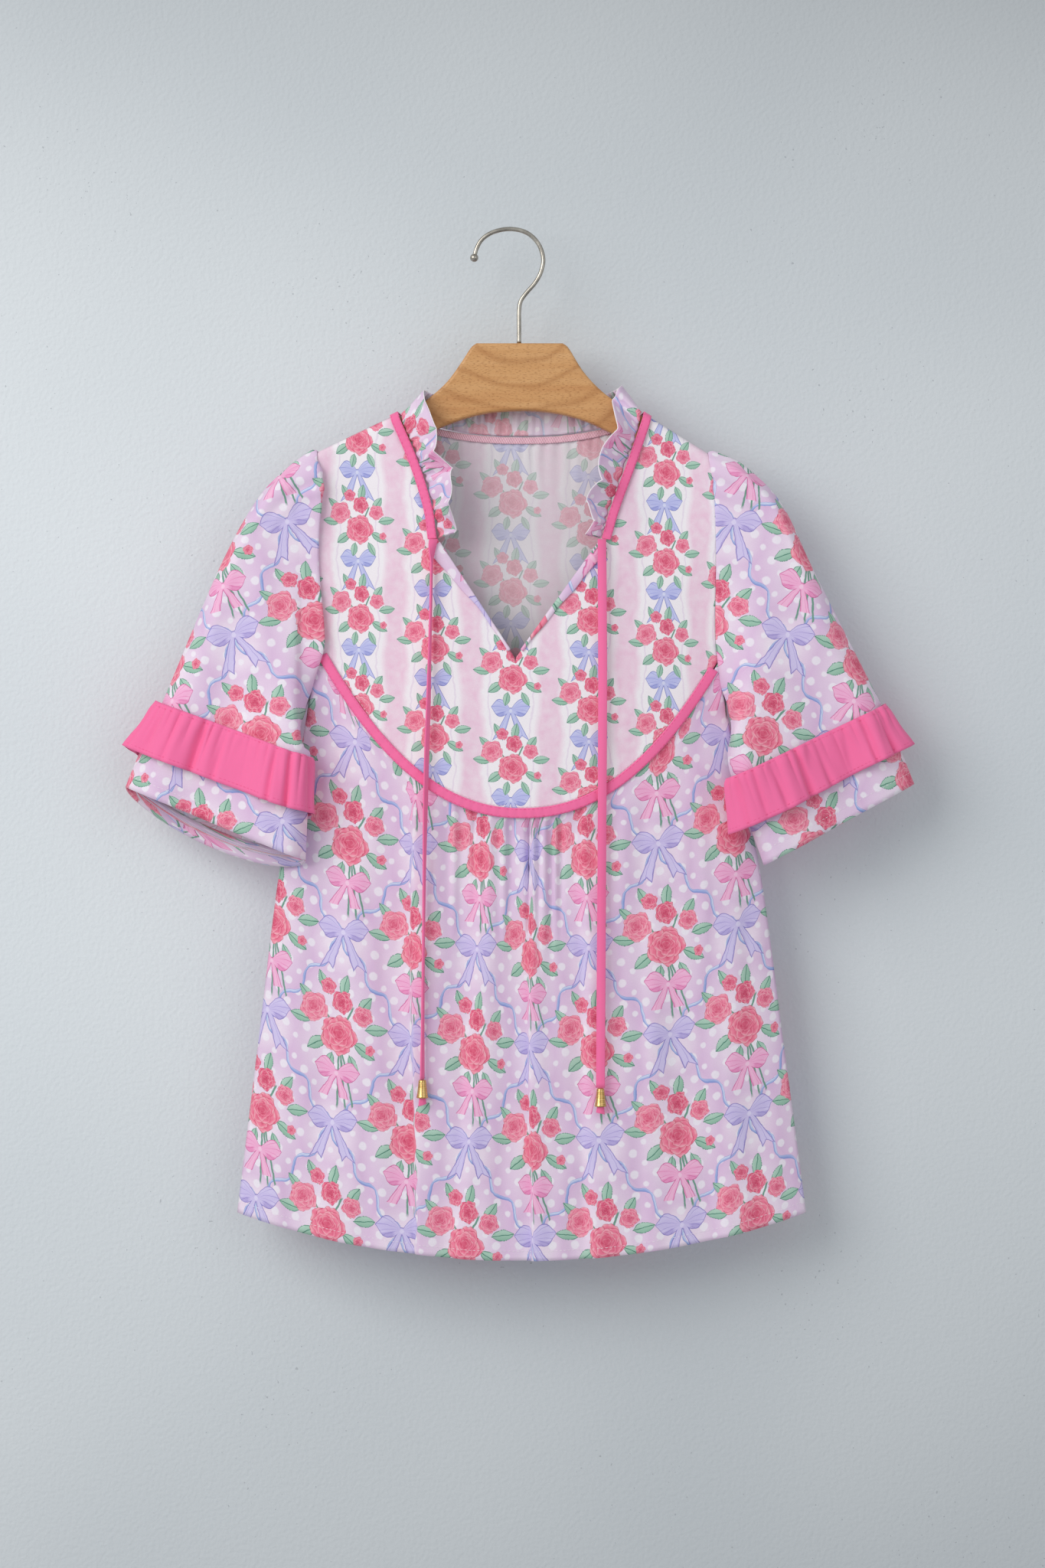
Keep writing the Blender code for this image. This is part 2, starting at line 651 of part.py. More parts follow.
def neck_binding():
    """Bias strip that lies on the yokes along the neck seam."""
    def point(at, across):
        place = neck_place(at)
        reach = mix(0.1, BINDING_WIDTH, across)
        x, z = place.x + place.away_x * reach, place.z + place.away_z * reach
        return body_point(x, min(z, ridge(x)), place.face, BINDING_LAP)

    shoulder = [-0.025, -0.014, -0.008, -0.004, -0.0015, -0.0005, 0, 0.001, 0.0035, 0.008, 0.017]
    half = spread(0, FRONT_SHARE - 0.04, 8) + [FRONT_SHARE + step for step in shoulder]
    half += spread(FRONT_SHARE + 0.03, 0.5, 5)
    columns = half + [1 - at for at in reversed(half[:-1])]
    cloth("neck_binding", columns, [0.0, 0.5, 1.0], point, TRIM_PINK)


def neck_ruffle():
    """Gathered strip that stands up out of the neck seam."""
    def plain(at, up):
        place = neck_place(min(1.0, max(0.0, at)))
        side = -1 if at < 0.5 else 1
        share = min(at, 1 - at) / FRONT_SHARE
        base = body_point(place.x, place.z, place.face)
        across, up_lean = -place.away_x * NECK_LEAN_IN, -place.away_z * NECK_LEAN_IN + 0.1
        front_lean = Vector((across, -NECK_LEAN_OUT, up_lean))
        shoulder_lean = Vector((-side * 0.66, 0.0, 0.75))
        back_lean = Vector((0.0, 0.2, 0.98))
        if share < 1:
            lean = front_lean.lerp(shoulder_lean, ease((share - 0.72) / 0.28))
        else:
            across = (at - FRONT_SHARE) / (1 - 2 * FRONT_SHARE)
            lean = shoulder_lean.lerp(back_lean, ease(min(across, 1 - across) / 0.3))
        lean.normalize()
        height = NECK_HEIGHT * (0.5 + 0.5 * ease(share / 0.35))
        near_shoulder = math.exp(-(((share - 1) / 0.05) ** 2))
        start = Vector((-place.away_x, 0, -place.away_z)) * (1.1 + 1.6 * near_shoulder)
        return base + start + lean * mix(0.0, height, up)

    def point(at, up):
        wave = math.sin(2 * math.pi * NECK_WAVES * at) * mix(NECK_WAVE_AT_SEAM, NECK_WAVE_AT_EDGE, up)
        return lifted(plain, min(0.998, max(0.002, at)), up, wave)

    turns = [corner + step for corner in (FRONT_SHARE, 1 - FRONT_SHARE) for step in (-0.003, 0.003)]
    columns = sorted(spread(0, 1, NECK_WAVES * 4) + turns)
    cloth("neck_ruffle", columns, [0.0, 0.4, 1.0], point, PRINT_GROUND)


def yoke_band():
    """Bias strip that lies on the front along the yoke seam."""
    left, right = seam_meets_armhole("left", -1)[0] + 6.0, seam_meets_armhole("right", -1)[0] - 5.0

    def point(across, down):
        x = mix(left, right, across)
        slope = yoke_slope(x)
        offset = (0.5 - down) * BAND_WIDTH / math.hypot(1, slope)
        return body_point(x - slope * offset, yoke_seam(x) + offset, -1, LAP)

    cloth("yoke_band", spread(0, 1, 36), [0.0, 0.5, 1.0], point, TRIM_PINK)


def slit_facing(side):
    """Printed facing that shows where the slit edge is turned out, narrower towards the point."""
    out = -1 if side == "left" else 1
    slit_end = Vector((SLIT_X, SLIT_POINT))
    slit_start = Vector((getattr(NECK[-1], side), SLIT_TOP))
    run = (slit_end - slit_start).normalized()
    away = Vector((out * abs(run.y), -abs(run.x)))

    def point(down, across):
        edge = slit_start.lerp(slit_end, mix(0.03, 0.93, down))
        reach = mix(0.2, mix(FACING_WIDTH[side], FACING_END_WIDTH, down**0.8), across)
        return body_point(edge.x + away.x * reach, edge.y + away.y * reach, -1, LAP)

    columns = spread(0, 1, 8)
    if side == "right":
        columns = list(reversed(columns))
    cloth("slit_facing_" + side, columns, [0.0, 0.5, 1.0], point, PRINT_GROUND)


def smooth_route(points, step):
    """Evenly spaced points on a smooth curve through a list of points."""
    dense = []
    for i in range(len(points) - 1):
        before, start, end, after = (points[max(0, min(len(points) - 1, i + k))] for k in (-1, 0, 1, 2))
        for s in spread(0, 1, 24)[:-1]:
            curve = start + (end - before) * s / 2
            curve += (before * 2 - start * 5 + end * 4 - after) * s**2 / 2
            curve += (start * 3 - before - end * 3 + after) * s**3 / 2
            dense.append(curve)
    dense.append(points[-1])
    length = sum((b - a).length for a, b in zip(dense, dense[1:]))
    count = round(length / step)
    route, walked, target = [dense[0]], 0.0, length / count
    for a, b in zip(dense, dense[1:]):
        piece = (b - a).length
        while walked + piece >= target and len(route) < count:
            route.append(a.lerp(b, (target - walked) / piece))
            target += length / count
        walked += piece
    route.append(dense[-1])
    return route


def tube(name, route, radius, colour, roughness=0.8, metallic=0.0):
    """Round cord or wire along a route."""
    curve = bpy.data.curves.new(name, "CURVE")
    curve.dimensions = "3D"
    curve.bevel_depth = radius * MM
    curve.bevel_resolution = 2
    curve.use_fill_caps = True
    spline = curve.splines.new("POLY")
    spline.points.add(len(route) - 1)
    for spot, place in zip(spline.points, route):
        spot.co = (*(place * MM), 1)
        spot.radius = 1
    made = bpy.data.objects.new(name, curve)
    PARTS.objects.link(made)
    paint(made, colour, roughness, metallic)
    return made


def tie_route(side):
    """Middle line of a tie, just in front of the cloth, down to the top of its tip."""
    heights = [row.height for row in TIES[:-1]] + [TIP_TOP[side] + 0.3]
    points = []
    for z in heights:
        x = along(TIES, side, z)
        near = ease((TIES[0].height - z) / 14)
        points.append(body_point(x, z, -1, mix(TIE_START, TIE_STANDOFF, near)))
    return smooth_route(points, TIE_STEP)


def turned(name, profile, place, colour, roughness, metallic):
    """Turned piece from a profile of radius and height, from its top to its bottom."""
    mesh = bmesh.new()
    verts = [mesh.verts.new((radius * MM, 0, height * MM)) for radius, height in profile]
    for a, b in zip(verts, verts[1:]):
        mesh.edges.new((a, b))
    made = finish(name, mesh, colour, roughness, metallic)
    screw = made.modifiers.new("turn", "SCREW")
    screw.steps = screw.render_steps = 20
    screw.use_merge_vertices = True
    screw.merge_threshold = 1e-5
    made.location = place * MM
    return made


def tie(side):
    """A tie with its metal bell and the end of the cloth below it."""
    route = tie_route(side)
    tube("tie_" + side, route, TIE_RADIUS, TRIM_PINK)
    top = route[-1] - Vector((0, 0, 0.3))
    bell = (
        (0.0, 0.0), (2.5, 0.0), (3.0, -0.5), (3.2, -3.0), (3.6, -7.5),
        (TIP_RADIUS - 0.2, -13.0), (TIP_RADIUS, -13.8), (TIP_RADIUS - 0.5, -TIP_LENGTH),
        (0.0, -TIP_LENGTH),
    )
    turned("tie_tip_" + side, bell, top, GOLD, 0.3, 1.0)
    mesh = bmesh.new()
    bmesh.ops.create_cube(mesh, size=1)
    for vert in mesh.verts:
        width = TAIL_WIDTH * (1.25 if vert.co.z < 0 else 1.0)
        vert.co = Vector((vert.co.x * width, vert.co.y * TAIL_DEPTH, vert.co.z * TAIL_LENGTH)) * MM
    made = finish("tie_end_" + side, mesh, TRIM_PINK)
    made.location = (top - Vector((0, 0, TIP_LENGTH + 0.3 + TAIL_LENGTH / 2))) * MM


def as_mesh(curve_object):
    """Mesh of a curve object, which is removed."""
    if not curve_object.users_collection:
        PARTS.objects.link(curve_object)
    bpy.context.view_layer.update()
    evaluated = curve_object.evaluated_get(bpy.context.evaluated_depsgraph_get())
    data = bpy.data.meshes.new_from_object(evaluated)
    bpy.data.objects.remove(curve_object, do_unlink=True)
    return data


def hanger_wood():
    """Flat beech board with softened edges."""
    curve = bpy.data.curves.new("hanger_wood", "CURVE")
    curve.dimensions = "2D"
    curve.fill_mode = "BOTH"
    curve.extrude = BOARD / 2 * MM
    spline = curve.splines.new("POLY")
    spline.points.add(len(HANGER) - 1)
    spline.use_cyclic_u = True
    for spot, place in zip(spline.points, HANGER):
        spot.co = (place.x * MM, place.z * MM, 0, 1)
    outline = bpy.data.objects.new("hanger_outline", curve)
    mesh = bmesh.new()
    mesh.from_mesh(as_mesh(outline))
    bmesh.ops.remove_doubles(mesh, verts=mesh.verts, dist=1e-6)
    bmesh.ops.dissolve_limit(mesh, angle_limit=math.radians(1), verts=mesh.verts, edges=mesh.edges)
    made = finish("hanger_wood", mesh, BEECH, 0.5)
    made.rotation_euler = (math.pi / 2, 0, 0)
    soften = made.modifiers.new("edge", "BEVEL")
    soften.width = BOARD_EDGE * MM
    soften.segments = 2
    soften.angle_limit = math.radians(50)


def hanger_hook():
    """Bent wire with a ball at its free end."""
    points = [Vector((place.x, 0, place.z)) for place in HOOK]
    wire = tube("hanger_wire", smooth_route(points, 5.0), WIRE / 2, NICKEL, 0.3, 1.0)
    mesh = bmesh.new()
    mesh.from_mesh(as_mesh(wire))
    bmesh.ops.remove_doubles(mesh, verts=mesh.verts, dist=1e-6)
    hook = finish("hanger_hook", mesh, NICKEL, 0.3, 1.0)
    ball_mesh = bmesh.new()
    bmesh.ops.create_uvsphere(ball_mesh, u_segments=14, v_segments=9, radius=BALL / 2 * MM)
    ball = finish("hook_ball_cutter", ball_mesh, NICKEL)
    ball.location = points[0] * MM
    ball.hide_render = True
    ball.display_type = "WIRE"
    PARTS.objects.unlink(ball)
    CUTTERS.objects.link(ball)
    join = hook.modifiers.new("ball", "BOOLEAN")
    join.operation = "UNION"
    join.object = ball


def build():
    """Make every piece of the blouse and its hanger."""
    front_yoke()
    back_yoke()
    front_rows = [0.0, 0.02, 0.05, 0.1, 0.18, 0.28, 0.4, 0.55, 0.7, 0.85, 1.0]
    lower_panel("front_lower", -1, front_columns(), front_rows)
    back_rows = [0.0, 0.03, 0.08, 0.18, 0.32, 0.5, 0.67, 0.84, 1.0]
    lower_panel("back_lower", 1, back_columns(), back_rows)
    for side in ("left", "right"):
        sleeve(side)
        sleeve_ruffle(side)
        slit_facing(side)
        tie(side)
    neck_binding()
    neck_ruffle()
    yoke_band()
    hanger_wood()
    hanger_hook()


clear_scene()
PARTS = bpy.data.collections.new("ruffle_blouse")
CUTTERS = bpy.data.collections.new("cutters")
bpy.context.scene.collection.children.link(PARTS)
bpy.context.scene.collection.children.link(CUTTERS)
build()
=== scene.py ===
import math
from collections import namedtuple

import bmesh
import bpy
from mathutils import Matrix, Vector, noise


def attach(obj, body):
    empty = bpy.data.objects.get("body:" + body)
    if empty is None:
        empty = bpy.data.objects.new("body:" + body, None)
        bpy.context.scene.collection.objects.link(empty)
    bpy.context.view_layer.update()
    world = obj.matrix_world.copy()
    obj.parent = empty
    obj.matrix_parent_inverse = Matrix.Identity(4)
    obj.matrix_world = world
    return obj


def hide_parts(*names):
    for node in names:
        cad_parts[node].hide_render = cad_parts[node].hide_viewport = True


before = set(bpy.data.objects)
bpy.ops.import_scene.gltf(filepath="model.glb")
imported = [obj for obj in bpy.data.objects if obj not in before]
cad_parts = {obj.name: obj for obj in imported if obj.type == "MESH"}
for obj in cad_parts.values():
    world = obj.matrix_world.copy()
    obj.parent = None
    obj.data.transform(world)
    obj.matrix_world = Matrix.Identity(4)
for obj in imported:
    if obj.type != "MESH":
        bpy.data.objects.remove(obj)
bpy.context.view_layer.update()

# Camera: it looks straight at the front of the blouse, at the height of the waist, through a long
# lens. A picture of 1365 by 2048 then shows 0.6 mm of the blouse for each pixel.
MM = 0.001
PICTURE_HEIGHT = 1228.8
CAMERA = Vector((9.3, -3200.0, -436.2))
CLOTH_FRONT = -22.0
SENSOR = 24.0
camera = bpy.data.objects.new("camera", bpy.data.cameras.new("camera"))
bpy.context.scene.collection.objects.link(camera)
camera.data.sensor_fit = "VERTICAL"
camera.data.sensor_height = SENSOR
camera.data.lens = SENSOR * (CLOTH_FRONT - CAMERA.y) / PICTURE_HEIGHT
camera.data.clip_end = 30.0
camera.location = CAMERA * MM
camera.rotation_euler = (math.pi / 2, 0, 0)
bpy.context.scene.camera = camera
bpy.context.scene.view_settings.view_transform = "Standard"


# Ties: the two free ends of the neck binding, a folded pink bias strip 7 mm wide, edge-stitched.
# They hang in front of the cloth, so the smooth surface of the body is worked out here first. The
# left one hangs edge-on and the right one flat.
Section = namedtuple("Section", "height left right front back")
BODY = (
    Section(-140, -154.0, 157.0, 11.5, 11.0),
    Section(-176, -154.0, 157.0, 13.0, 12.0),
    Section(-200, -156.0, 162.0, 14.5, 12.5),
    Section(-257, -155.0, 163.5, 17.5, 13.5),
    Section(-324, -154.0, 163.5, 20.0, 14.0),
    Section(-377, -160.0, 170.0, 23.0, 16.0),
    Section(-430, -169.0, 181.0, 24.0, 17.0),
    Section(-510, -183.0, 197.4, 25.0, 18.0),
    Section(-640, -199.0, 215.0, 27.0, 19.0),
    Section(-774, -215.6, 232.8, 29.0, 20.0),
    Section(-812, -220.0, 237.0, 29.5, 20.0),
)
OUT = {"left": -1, "right": 1}
UNDERARM = -377.0
ARMHOLE_TOP = -176.0
SHOULDER_ROLL = 4.0
FLATNESS = 2.2
EDGE_TURN = 1 / 1.6
SHOULDER_DEPTH = 8.8
ARMHOLE_DEPTH = 12.0
SIDE_STEP = 0.8
NECK_TOP = -144.5
NECK_LEFT = -89.0
NECK_RIGHT = 105.0
LEFT_SHOULDER_SLOPE = 0.477
RIGHT_SHOULDER_SLOPE = 0.625
TiePoint = namedtuple("TiePoint", "height left right")
TIES = (
    TiePoint(-244.2, -60.6, 71.6),
    TiePoint(-256.0, -61.8, 71.6),
    TiePoint(-290.0, -62.4, 71.8),
    TiePoint(-360.0, -64.0, 72.0),
    TiePoint(-450.0, -66.6, 71.6),
    TiePoint(-550.0, -68.0, 71.0),
    TiePoint(-640.0, -68.8, 70.4),
    TiePoint(-674.0, -69.0, 70.2),
)
TIE_STEP = 12.0
TIE_START = 5.0
TIE_STANDOFF = 6.2
TIE_SETTLES = 14.0
TIE_WIDTH = 7.0
TIE_DEPTH = 2.2
TIE_ROUND = 18.0
TIE_LENGTH = 430.0
TIE_TURN = {"left": 74.0, "right": 6.0}
TIP_TOP = {"left": -667.2, "right": -673.8}
TIP_LENGTH = 14.4


def mix(low, high, share):
    """Value a share of the way from one to the other."""
    return low + (high - low) * share


def ease(share):
    """Smooth step from 0 to 1."""
    share = min(1.0, max(0.0, share))
    return share * share * (3 - 2 * share)


def roll(share):
    """Quarter circle from 0 to 1, the profile of cloth that turns over an edge."""
    share = min(1.0, max(0.0, share))
    return math.sqrt(1 - (1 - share) ** 2)


def spread(low, high, count):
    """Even steps from low to high, both ends included."""
    return [mix(low, high, i / count) for i in range(count + 1)]


def along(rows, name, at):
    """Smooth value of one column of a table, where its first column has the value at."""
    keys = [row[0] for row in rows]
    values = [getattr(row, name) for row in rows]
    if keys[0] > keys[-1]:
        keys.reverse()
        values.reverse()
    at = min(keys[-1], max(keys[0], at))
    last = len(keys) - 1
    slot = next(i for i in range(last) if at <= keys[i + 1])

    def slope(i):
        low, high = max(0, i - 1), min(last, i + 1)
        return (values[high] - values[low]) / (keys[high] - keys[low])

    step = keys[slot + 1] - keys[slot]
    s = (at - keys[slot]) / step
    rise = values[slot + 1] - values[slot]
    start, end = slope(slot) * step, slope(slot + 1) * step
    curve = start * s + (3 * rise - 2 * start - end) * s**2 + (start + end - 2 * rise) * s**3
    return values[slot] + curve


def ridge(x):
    """Height of the shoulder line, which the hanger's arms follow on across the neck."""
    rise = min((x - NECK_LEFT) * LEFT_SHOULDER_SLOPE, (NECK_RIGHT - x) * RIGHT_SHOULDER_SLOPE)
    return NECK_TOP + rise


def armhole_share(z):
    """How far down the armhole a height is, from 0 at the shoulder to 1 at the underarm."""
    return min(1.0, max(0.0, (ARMHOLE_TOP - z) / (ARMHOLE_TOP - UNDERARM)))


def sides_at(z):
    """The left and right sides of the body at a height."""
    return along(BODY, "left", z), along(BODY, "right", z)


def section_at(x, z, face):
    """Offset from the middle line, the same as a share of the half width, and the full depth there."""
    left, right = sides_at(z)
    offset = x - (left + right) / 2
    full = along(BODY, "front" if face < 0 else "back", z)
    return offset, min(1.0, abs(offset) / ((right - left) / 2)), full


def body_point(x, z, face, lift=0.0):
    """Point of the smooth body, moved out by lift. The face is -1 at the front and 1 at the back."""
    _, across, full = section_at(x, z, face)
    down = armhole_share(z)
    edge = mix(SHOULDER_DEPTH, ARMHOLE_DEPTH, min(1.0, down / 0.4)) * math.sqrt(1 - down**2)
    depth = full * (1 - across**FLATNESS) ** EDGE_TURN + edge * across**8
    drop = min(1.0, max(0.0, (ridge(x) - z) / SHOULDER_ROLL))
    turned = roll(drop)
    out = Vector((turned / max(depth, 1.0), (1 - drop) / SHOULDER_ROLL)).normalized() * lift
    depth = max(SIDE_STEP, depth * turned + out.x)
    return Vector((x, face * depth, z + out.y))


def between(before, start, end, after, s):
    """Point a share s of the way from start to end, on a smooth curve past four points."""
    curve = start + (end - before) * s / 2
    curve += (before * 2 - start * 5 + end * 4 - after) * s**2 / 2
    return curve + (start * 3 - before - end * 3 + after) * s**3 / 2


def smooth_route(points, step):
    """Evenly spaced points on a smooth curve through a list of points."""
    dense, last = [], len(points) - 1
    for i in range(last):
        four = [points[max(0, min(last, i + k))] for k in (-1, 0, 1, 2)]
        dense += [between(*four, s) for s in spread(0, 1, 24)[:-1]]
    dense.append(points[-1])
    length = sum((b - a).length for a, b in zip(dense, dense[1:]))
    count = round(length / step)
    route, walked, target = [dense[0]], 0.0, length / count
    for a, b in zip(dense, dense[1:]):
        piece = (b - a).length
        while walked + piece >= target and len(route) < count:
            route.append(a.lerp(b, (target - walked) / piece))
            target += length / count
        walked += piece
    route.append(dense[-1])
    return route


def tie_route(side, step):
    """Middle line of a tie, just in front of the cloth, down to the top of its tip."""
    heights = [row.height for row in TIES[:-1]] + [TIP_TOP[side] + 0.3]
    points = []
    for z in heights:
        lift = mix(TIE_START, TIE_STANDOFF, ease((TIES[0].height - z) / TIE_SETTLES))
        points.append(body_point(along(TIES, side, z), z, -1, lift))
    return smooth_route(points, step)


def srgb(code):
    """Linear colour of a six-digit screen colour."""
    parts = [int(code[i : i + 2], 16) / 255 for i in (0, 2, 4)]
    return (*[c / 12.92 if c <= 0.04045 else ((c + 0.055) / 1.055) ** 2.4 for c in parts], 1.0)


class Wire:
    """Value that leaves a shader node. Sums and products of it add maths nodes to the same tree."""

    def __init__(self, socket):
        self.socket = socket

    def __add__(self, other):
        return calc("ADD", self, other)

    def __sub__(self, other):
        return calc("SUBTRACT", self, other)

    def __rsub__(self, other):
        return calc("SUBTRACT", other, self)

    def __mul__(self, other):
        return calc("MULTIPLY", self, other)

    def __truediv__(self, other):
        return calc("DIVIDE", self, other)

    def __abs__(self):
        return calc("ABSOLUTE", self)


def join(value, socket):
    """Feed a socket from a wire or a plain value."""
    if isinstance(value, Wire):
        socket.id_data.links.new(value.socket, socket)
    else:
        socket.default_value = value


def add_node(kind, *values):
    """New node in the tree of the first wire among its values, which feed its first inputs."""
    tree = next(value.socket.id_data for value in values if isinstance(value, Wire))
    node = tree.nodes.new("ShaderNode" + kind)
    for value, socket in zip(values, node.inputs):
        join(value, socket)
    return node


def calc(operation, *values, clamp=False):
    """Result of a maths node."""
    node = add_node("Math", *values)
    node.operation = operation
    node.use_clamp = clamp
    return Wire(node.outputs[0])


def grown(value, times, plus):
    """Value times a number or wire, plus another."""
    return calc("MULTIPLY_ADD", value, times, plus)


def least(a, b):
    """Smaller of two values."""
    return calc("MINIMUM", a, b)


def most(a, b):
    """Larger of two values."""
    return calc("MAXIMUM", a, b)


def sine(value):
    """Sine of a value in radians."""
    return calc("SINE", value)


def wrap(value, high, low):
    """Value brought between two limits by whole repeats."""
    return calc("WRAP", value, high, low)


def calc_vector(operation, *values):
    """Result of a vector maths node."""
    node = add_node("VectorMath", *values)
    node.operation = operation
    return Wire(node.outputs["Value" if operation == "LENGTH" else "Vector"])


def length_of(vector):
    """Length of a vector."""
    return calc_vector("LENGTH", vector)


def scaled(vector, amount):
    """Vector times a number."""
    node = add_node("VectorMath", vector)
    node.operation = "SCALE"
    node.inputs["Scale"].default_value = amount
    return Wire(node.outputs["Vector"])


def stretched(vector, *scale, start=(0.0, 0.0, 0.0)):
    """Vector with each of its three parts scaled, then moved to a start."""
    node = add_node("Mapping", vector)
    node.inputs["Location"].default_value = start
    node.inputs["Scale"].default_value = scale
    return Wire(node.outputs[0])


def parts_of(vector, names="XY"):
    """Some of the parts of a vector, by default its x and y."""
    outputs = add_node("SeparateXYZ", vector).outputs
    return [Wire(outputs[name]) for name in names]


def vector_of(x, y):
    """Flat vector of two numbers."""
    return Wire(add_node("CombineXYZ", x, y).outputs[0])


def blend(share, low, high, kind="FLOAT"):
    """Mix of two numbers, vectors or colours."""
    tree = next(value.socket.id_data for value in (share, low, high) if isinstance(value, Wire))
    node = tree.nodes.new("ShaderNodeMix")
    node.data_type = kind
    first, out = {"FLOAT": (2, 0), "VECTOR": (4, 1), "RGBA": (6, 2)}[kind]
    for value, slot in ((share, 0), (low, first), (high, first + 1)):
        join(value, node.inputs[slot])
    return Wire(node.outputs[out])


def tint(share, low, high):
    """Mix of two colours."""
    return blend(share, low, high, "RGBA")


def shade(share, *stops):
    """Colour ramp through (place, colour) stops."""
    node = add_node("ValToRGB", share)
    ramp = node.color_ramp
    while len(ramp.elements) < len(stops):
        ramp.elements.new(0.5)
    for element, (place, colour) in zip(ramp.elements, stops):
        element.position = place
        element.color = srgb(colour)
    return Wire(node.outputs[0])


def speckle(place, scale, detail=2.0, output=0):
    """Soft noise from 0 to 1."""
    node = add_node("TexNoise", place)
    node.inputs["Scale"].default_value = scale
    node.inputs["Detail"].default_value = detail
    return Wire(node.outputs[output])


def wandering(place, scale, detail, reach):
    """Place moved about softly, so that what is drawn there looks drawn by hand."""
    drift = calc_vector("SUBTRACT", speckle(place, scale, detail, "Color"), (0.5, 0.5, 0.5))
    return calc_vector("ADD", place, scaled(drift, reach))


def new_group(name, inputs, outputs):
    """Shader node group: itself, the wires that come in and the sockets that it fills."""
    tree = bpy.data.node_groups.new(name, "ShaderNodeTree")
    for label, kind in inputs:
        tree.interface.new_socket(label, in_out="INPUT", socket_type="NodeSocket" + kind)
    for label, kind in outputs:
        tree.interface.new_socket(label, in_out="OUTPUT", socket_type="NodeSocket" + kind)
    enter = {socket.name: Wire(socket) for socket in tree.nodes.new("NodeGroupInput").outputs}
    return tree, enter, tree.nodes.new("NodeGroupOutput").inputs


def use_group(group, *values):
    """Place a node group in the tree of its values: its results by name."""
    tree = next(value.socket.id_data for value in values if isinstance(value, Wire))
    node = tree.nodes.new("ShaderNodeGroup")
    node.node_tree = group
    for value, socket in zip(values, node.inputs):
        join(value, socket)
    return {socket.name: Wire(socket) for socket in node.outputs}


def new_material(name):
    """Empty material, its shader and the place on the object, in metres."""
    material = bpy.data.materials.new(name)
    material.use_nodes = True
    nodes = material.node_tree.nodes
    where = nodes.new("ShaderNodeTexCoord").outputs["Object"]
    return material, nodes["Principled BSDF"], Wire(where)


def cloth_place(material):
    """Place in the cut of the cloth, in metres."""
    node = material.node_tree.nodes.new("ShaderNodeUVMap")
    node.uv_map = "cloth"
    return Wire(node.outputs[0])


def paint(shader, **looks):
    """Feed the inputs of a shader by name."""
    for name, value in looks.items():
        join(value, shader.inputs[name.replace("_", " ").title()])


def emboss(shader, height, distance):
    """Bump of a height in millimetres, on top of what the shader already has."""
    node = height.socket.id_data.nodes.new("ShaderNodeBump")
    node.inputs["Distance"].default_value = abs(distance) * MM
    node.invert = distance < 0
    join(height, node.inputs["Height"])
    normal = shader.inputs["Normal"]
    if normal.is_linked:
        join(Wire(normal.links[0].from_socket), node.inputs["Normal"])
    join(Wire(node.outputs[0]), normal)


# Plain weave: threads 0.45 mm apart both ways, some thicker than others
THREAD = 0.45
weave, enter, leave = new_group(
    "plain weave", [("Cloth", "Vector")], [("Height", "Float"), ("Fleck", "Float")]
)
x, y = parts_of(scaled(enter["Cloth"], 2 * math.pi / (THREAD * MM)))
slubs = speckle(scaled(enter["Cloth"], 1 / MM), 0.9, 3.0)
join(grown(sine(x) * sine(y), 0.35, slubs), leave["Height"])
join(slubs, leave["Fleck"])

# Soft creases: what stays in light cotton after pressing, longer down than across
creases, enter, leave = new_group("soft creases", [("Place", "Vector")], [("Height", "Float")])
broad = speckle(stretched(enter["Place"], 26.0, 26.0, 8.0), 1.0, 2.5)
join(grown(speckle(enter["Place"], 62.0, 2.0), 0.22, broad), leave["Height"])


def cotton(name, colour_at, crease_depth, roughness, sheen):
    """Cotton with weave and creases in its bump. Its colour comes from its place in the cut."""
    material, shader, where = new_material(name)
    threads = use_group(weave, cloth_place(material))
    folds = use_group(creases, where)
    colour = colour_at(cloth_place(material))
    paint(shader, base_color=tint(threads["Fleck"] * 0.16, colour, (0.35, 0.30, 0.36, 1)))
    paint(shader, roughness=roughness, sheen_weight=sheen, sheen_roughness=0.5)
    shader.inputs["Specular IOR Level"].default_value = 0.3
    emboss(shader, folds["Height"], crease_depth)
    emboss(shader, threads["Height"], 0.05)
    return material


# Plain dyed cotton for all the trim: hot pink, a little paler where it is lit through
trim_pink = cotton("trim_pink", lambda place: srgb("ff70a8"), 0.9, 0.8, 0.15)


def grid_piece(name, columns, rows, point, flat, materials, wall, closed=False):
    """A cloth piece from one grid: point(u, v) places it and flat(u, v, place) is its place in the cut.

    Its rows run down, so its faces are turned to look out. A closed one has its first and last
    columns sewn together. The second material, where there is one, goes on the wrong side.
    """
    mesh = bmesh.new()
    across, down = len(columns) - 1, len(rows) - 1
    made = bmesh.ops.create_grid(mesh, x_segments=across, y_segments=down, size=1)
    cut = mesh.loops.layers.uv.new("cloth")
    places = {}
    for vert in made["verts"]:
        u = columns[round((vert.co.x + 1) / 2 * across)]
        v = rows[round((vert.co.y + 1) / 2 * down)]
        place = Vector(point(u, v))
        places[vert] = Vector(flat(u, v, place)) * MM
        vert.co = place * MM
    for face in mesh.faces:
        face.smooth = True
        for corner in face.loops:
            corner[cut].uv = places[corner.vert]
    bmesh.ops.reverse_faces(mesh, faces=mesh.faces)
    if closed:
        bmesh.ops.remove_doubles(mesh, verts=mesh.verts, dist=1e-6)
    return finish_piece(name, mesh, materials, wall)


